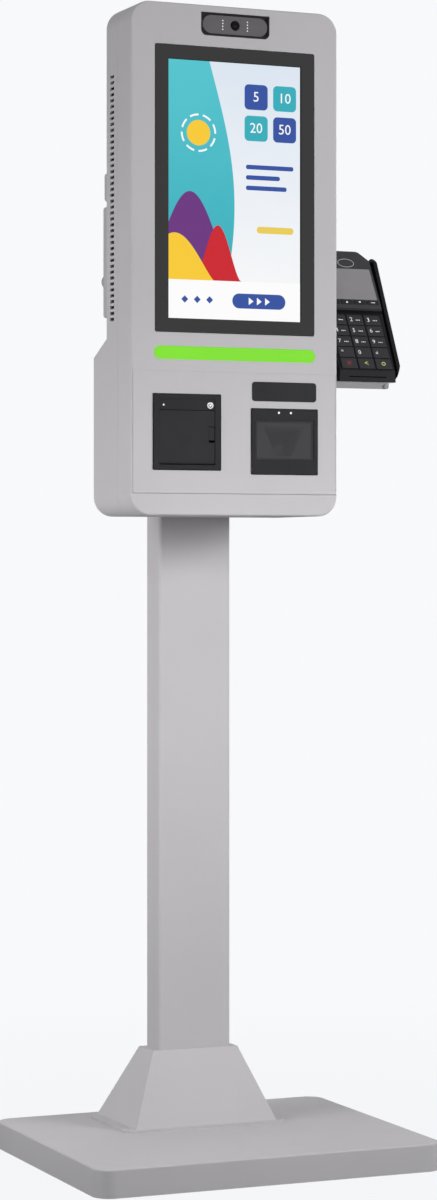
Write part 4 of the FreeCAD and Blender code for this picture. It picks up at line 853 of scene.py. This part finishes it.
def page_bars(blue):
    """Three unlabelled bars of different lengths and a stronger one below them."""
    yellow = lit("screen_bar_yellow", BAR_YELLOW)
    left, top, pitch, thin = 17 * MM, SCREEN_HIGH - 138 * MM, 14 * MM, 6 * MM
    lengths = (70 * MM, 50 * MM, 60 * MM)
    bars = [(left, top - i * pitch, length, thin, blue) for i, length in enumerate(lengths)]
    bars.append((33 * MM, SCREEN_HIGH - 222 * MM, 54 * MM, 9 * MM, yellow))
    for i, (x, z, length, thick, colour) in enumerate(bars):
        show(f"bar_{i + 1}", [rounded(length, thick, thick * 0.45, 5, (x + length / 2, z))], colour, 2)


def page_strip(blue, white):
    """White strip along the screen's foot, with a button with three arrows and a row of diamonds."""
    z = (SCREEN_LOW + STRIP_TOP) / 2
    strip = rounded(2 * SCREEN_HALF, STRIP_TOP - SCREEN_LOW, PAGE_CORNER, 1, (0, z))
    show("strip", [strip], lit("screen_strip", WHITE), 5)
    middle, width, height, corner = 36 * MM, 78 * MM, 20 * MM, 9.9 * MM
    show("button", [rounded(width, height, corner, 10, (middle, z))], blue, 6)
    back, tip, half, pitch = 3 * MM, 4 * MM, 5 * MM, 12 * MM
    for i in range(3):
        x = middle + (i - 1) * pitch
        show(f"arrow_{i + 1}", [[(x - back, z - half), (x + tip, z), (x - back, z + half)]], white, 7)
    reach = 5 * MM
    diamonds = [[(x, z - reach), (x + reach, z), (x, z + reach), (x - reach, z)]
                for x in (-72 * MM, -54 * MM, -36 * MM)]
    show("diamonds", diamonds, blue, 6)


def screen_picture():
    """All layers of the page."""
    page_fields()
    plum_left, yellow_left = -SCREEN_HALF - 30 * MM, -SCREEN_HALF - 46 * MM
    page_hill("plum", plum_left, -2 * MM, height=118 * MM, sharpness=1.3, colour=PLUM, layer=2)
    page_hill("rose", -58 * MM, 10 * MM, height=74 * MM, sharpness=1.6, colour=ROSE, layer=3)
    page_hill("yellow", yellow_left, -30 * MM, height=62 * MM, sharpness=1.2, colour=SUN_YELLOW, layer=4)
    page_sun()
    blue = lit("screen_blue", INK_BLUE)
    white = lit("screen_tile_white", WHITE)
    page_tiles(blue, white)
    page_bars(blue)
    page_strip(blue, white)


# Front of the housing
def name_plate(m):
    """Bare black plate over the scanner."""
    face = -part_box("peripheral_panel")[0].y
    middle = ((PLATE_LEFT + PLATE_RIGHT) / 2, (PLATE_LOW + PLATE_HIGH) / 2)
    plate = rounded(PLATE_RIGHT - PLATE_LEFT, PLATE_HIGH - PLATE_LOW, PLATE_CORNER, 8, middle)
    slab("name_plate", [plate], FRONT, face - PLATE_SINK, face + PLATE_RISE, m["plate"], "kiosk",
         bevel=PLATE_BEVEL)


def power_mark(m):
    """Plain power sign on the feed button: a ring open at its top with a bar."""
    low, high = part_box("feed_button")
    x, z = (low.x + high.x) / 2, (low.z + high.z) / 2
    inner, outer = 1.7 * MM, 2.9 * MM
    outlines = [arc_band(inner, outer, (x, z), start, start + 140, 16) for start in (120, 260)]
    width, height, lift = 0.9 * MM, 2.2 * MM, 2.2 * MM
    outlines.append(rounded(width, height, 0.2 * MM, 3, (x, z + lift)))
    slab("power_mark", outlines, FRONT, -low.y - MARK_SINK, -low.y + FACE_MARK_RISE, m["mark_dark"],
         "feed_button")


# Payment terminal
def key_place(name):
    """Where a key's middle lies on the terminal's face, and the level of its top there."""
    low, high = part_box(name)
    middle = (low + high) / 2 - TERMINAL.origin
    x, v = middle.dot(TERMINAL.across), middle.dot(TERMINAL.up)
    return x, v, TERMINAL.level(name, x, v)


def key_mark(name, outlines, level, material, body, rise=KEY_MARK_RISE):
    """Flat print on one of the terminal's keys."""
    slab("mark_" + name, outlines, TERMINAL, level - MARK_SINK, level + rise, material, body)


def figure(name, text, size, x, v, level, material, body):
    """Raised figure or sign on a key."""
    words("mark_" + name, text, size, TERMINAL, x, v, level + FIGURE_LEVEL, FIGURE_DEPTH, material, body)


def cancel_mark(m):
    """Red cross of two bars, the second a hair higher so that they don't share a face."""
    x, v, level = key_place("key_cancel")
    length, width = 8.6 * MM, 1.3 * MM
    for i, (turn, rise) in enumerate(((45, KEY_MARK_RISE), (-45, KEY_MARK_RISE * 1.2))):
        bar = rotated(rounded(length, width, 0.3 * MM, 3), turn, (x, v))
        key_mark(f"cancel_{i + 1}", [bar], level, m["mark_red"], "key_cancel", rise)


def clear_mark(m):
    """Yellow sign that points to the left."""
    x, v, level = key_place("key_clear")
    figure("clear", "<", CLEAR_SIZE, x, v, level, m["mark_yellow"], "key_clear")


def enter_mark(m):
    """Green ring."""
    x, v, level = key_place("key_enter")
    inner, outer = 2.0 * MM, 2.9 * MM
    key_mark("enter", ring(inner, outer, (x, v), 16), level, m["mark_green"], "key_enter")


def figure_marks(m):
    """Figures and signs on the other keys, with three small bars beside the figures from 1 to 9."""
    signs = {"star": "*", "hash": "#"}
    for name in FIGURE_KEYS:
        short = name.removeprefix("key_")
        x, v, level = key_place(name)
        size = HASH_SIZE if short == "hash" else FIGURE_SIZE
        figure(short, signs.get(short, short), size, x - FIGURE_SHIFT, v, level, m["mark"], name)
        if short in ("star", "0", "hash"):
            continue
        places = [(x + KEY_BAR_SHIFT + i * KEY_BAR_PITCH, v - KEY_BAR_DROP) for i in range(3)]
        bars = [rounded(KEY_BAR_WIDTH, KEY_BAR_HEIGHT, 0.3 * MM, 2, place) for place in places]
        key_mark("bars_" + short, bars, level, m["mark"], name)


def soft_key_marks(m):
    """Three lines, two triangles and a dash on the keys under the display."""
    line_length, line_width, line_pitch = 5 * MM, 0.6 * MM, 1.3 * MM
    half, tall = 1.9 * MM, 1.5 * MM
    dash_length, dash_width = 7 * MM, 1.0 * MM
    for name in SOFT_KEYS:
        x, v, level = key_place(name)
        shapes = {
            "key_menu": [rounded(line_length, line_width, 0.2 * MM, 2, (x, v + row * line_pitch))
                         for row in (-1, 0, 1)],
            "key_up": [[(x - half, v - tall), (x + half, v - tall), (x, v + tall)]],
            "key_down": [[(x - half, v + tall), (x, v - tall), (x + half, v + tall)]],
            "key_dash": [rounded(dash_length, dash_width, 0.4 * MM, 3, (x, v))],
        }
        key_mark(name.removeprefix("key_"), shapes[name], level, m["mark"], name)


def card_oval(m):
    """Plain oval that shows where to hold a card."""
    level = TERMINAL.level("terminal_cover", *OVAL_PLACE)
    inner = (OVAL_ACROSS - OVAL_LINE, OVAL_ALONG - OVAL_LINE)
    outlines = ring(inner, (OVAL_ACROSS, OVAL_ALONG), OVAL_PLACE, 24)
    slab("tap_ring", outlines, TERMINAL, level - MARK_SINK, level + FACE_MARK_RISE, m["mark_grey"], "kiosk")


# Studio
def make_world():
    """Even light that grows weaker towards the zenith, shown as the plain background."""
    world = bpy.data.worlds.new("studio")
    bpy.context.scene.world = world
    n = Nodes(world, "ShaderNodeOutputWorld", "Generated")
    ambient = n.coloured("ShaderNodeBackground", linear(WHITE))
    n.join(n.spread(n.axis("Z"), AMBIENT_SIDE, AMBIENT_TOP, 0.0, 1.0), ambient.inputs["Strength"])
    shown = n.coloured("ShaderNodeBackground", linear(BACKGROUND))
    n.close(n.shown_or_lit(ambient.outputs[0], shown.outputs[0]))


def make_floor():
    """Pale floor that keeps a faint shadow near the object and melts into the background further out."""
    corners = [(x * FLOOR_REACH, y * FLOOR_REACH, 0) for x, y in ((-1, -1), (1, -1), (1, 1), (-1, 1))]
    mesh = bpy.data.meshes.new("floor")
    mesh.from_pydata(corners, [], [(0, 1, 2, 3)])
    floor = new_object("floor", mesh)
    n = new_material("studio_floor")
    plain = n.surface(linear(FLOOR_COLOUR), 0.9, shine=0.0)
    glow = n.coloured("ShaderNodeEmission", linear(BACKGROUND))
    distance = n.vector_maths("LENGTH", n.place)
    fade = n.spread(distance, FLOOR_GLOW, 1.0, FLOOR_FADE_START, FLOOR_FADE_END)
    mesh.materials.append(n.close(n.shown_or_lit(plain, n.mixed(fade, plain, glow.outputs[0]))))


def area_light(name, place, target, size, power, spread=180):
    """A soft panel of a width and height in metres and a power in watts."""
    lamp = bpy.data.lights.new(name, "AREA")
    lamp.shape = "RECTANGLE"
    lamp.size, lamp.size_y = size
    lamp.energy = power
    lamp.spread = math.radians(spread)
    obj = new_object(name, lamp)
    obj.location = place
    obj.rotation_mode = "QUATERNION"
    obj.rotation_quaternion = (Vector(target) - Vector(place)).to_track_quat("-Z", "Y")
    obj.visible_camera = False


def make_lights():
    """Soft panels in front of the foot, the post and the housing, at both sides, above and behind."""
    area_light("front_low_panel", (-0.1, -0.95, 0.45), (0.0, 0.0, 0.4), (0.4, 0.4), 1.4)
    area_light("front_post_panel", (-0.15, -0.95, 1.15), (0.0, 0.02, 0.48), (0.4, 0.4), 0.5, spread=65)
    area_light("front_high_panel", (-0.4, -1.3, 1.4), (-0.1, 0.0, 1.15), (0.5, 0.5), 5.3)
    area_light("front_right_panel", (1.35, -1.1, 1.2), (0.0, 0.0, 1.0), (0.6, 0.6), 20.0)
    area_light("left_high_panel", (-1.3, -0.1, 1.25), (0.0, 0.0, 1.05), (0.6, 0.5), 5.6)
    area_light("left_low_panel", (-0.9, 0.0, 0.52), (0.0, 0.0, 0.52), (0.4, 0.4), 2.8)
    area_light("top_panel", (0.0, -0.03, 2.1), (0.0, -0.03, 1.5), (0.3, 0.3), 0.9)
    area_light("back_panel", (-0.5, 1.5, 0.7), (0.0, 0.0, 0.7), (0.7, 0.7), 4.0)
    area_light("back_right_panel", (1.1, 1.2, 1.2), (0.0, 0.0, 1.15), (0.7, 0.7), 1.6, spread=80)


def make_camera():
    """The photograph's camera: level, with its view shifted a little downwards."""
    data = bpy.data.cameras.new("photo_camera")
    data.sensor_width = CAMERA_SENSOR
    data.lens = CAMERA_LENS
    data.shift_y = VIEW_SHIFT / PICTURE_HEIGHT
    data.clip_end = CAMERA_REACH
    camera = new_object("photo_camera", data)
    camera.location = CAMERA_PLACE
    camera.rotation_euler = (math.radians(90), 0.0, -math.radians(CAMERA_YAW))
    bpy.context.scene.camera = camera


bpy.context.scene.view_settings.view_transform = "Standard"
make_camera()
make_world()
make_floor()
make_lights()
materials = make_materials()
dress_nodes(materials)
screen_picture()
name_plate(materials)
power_mark(materials)
cancel_mark(materials)
clear_mark(materials)
enter_mark(materials)
figure_marks(materials)
soft_key_marks(materials)
card_oval(materials)
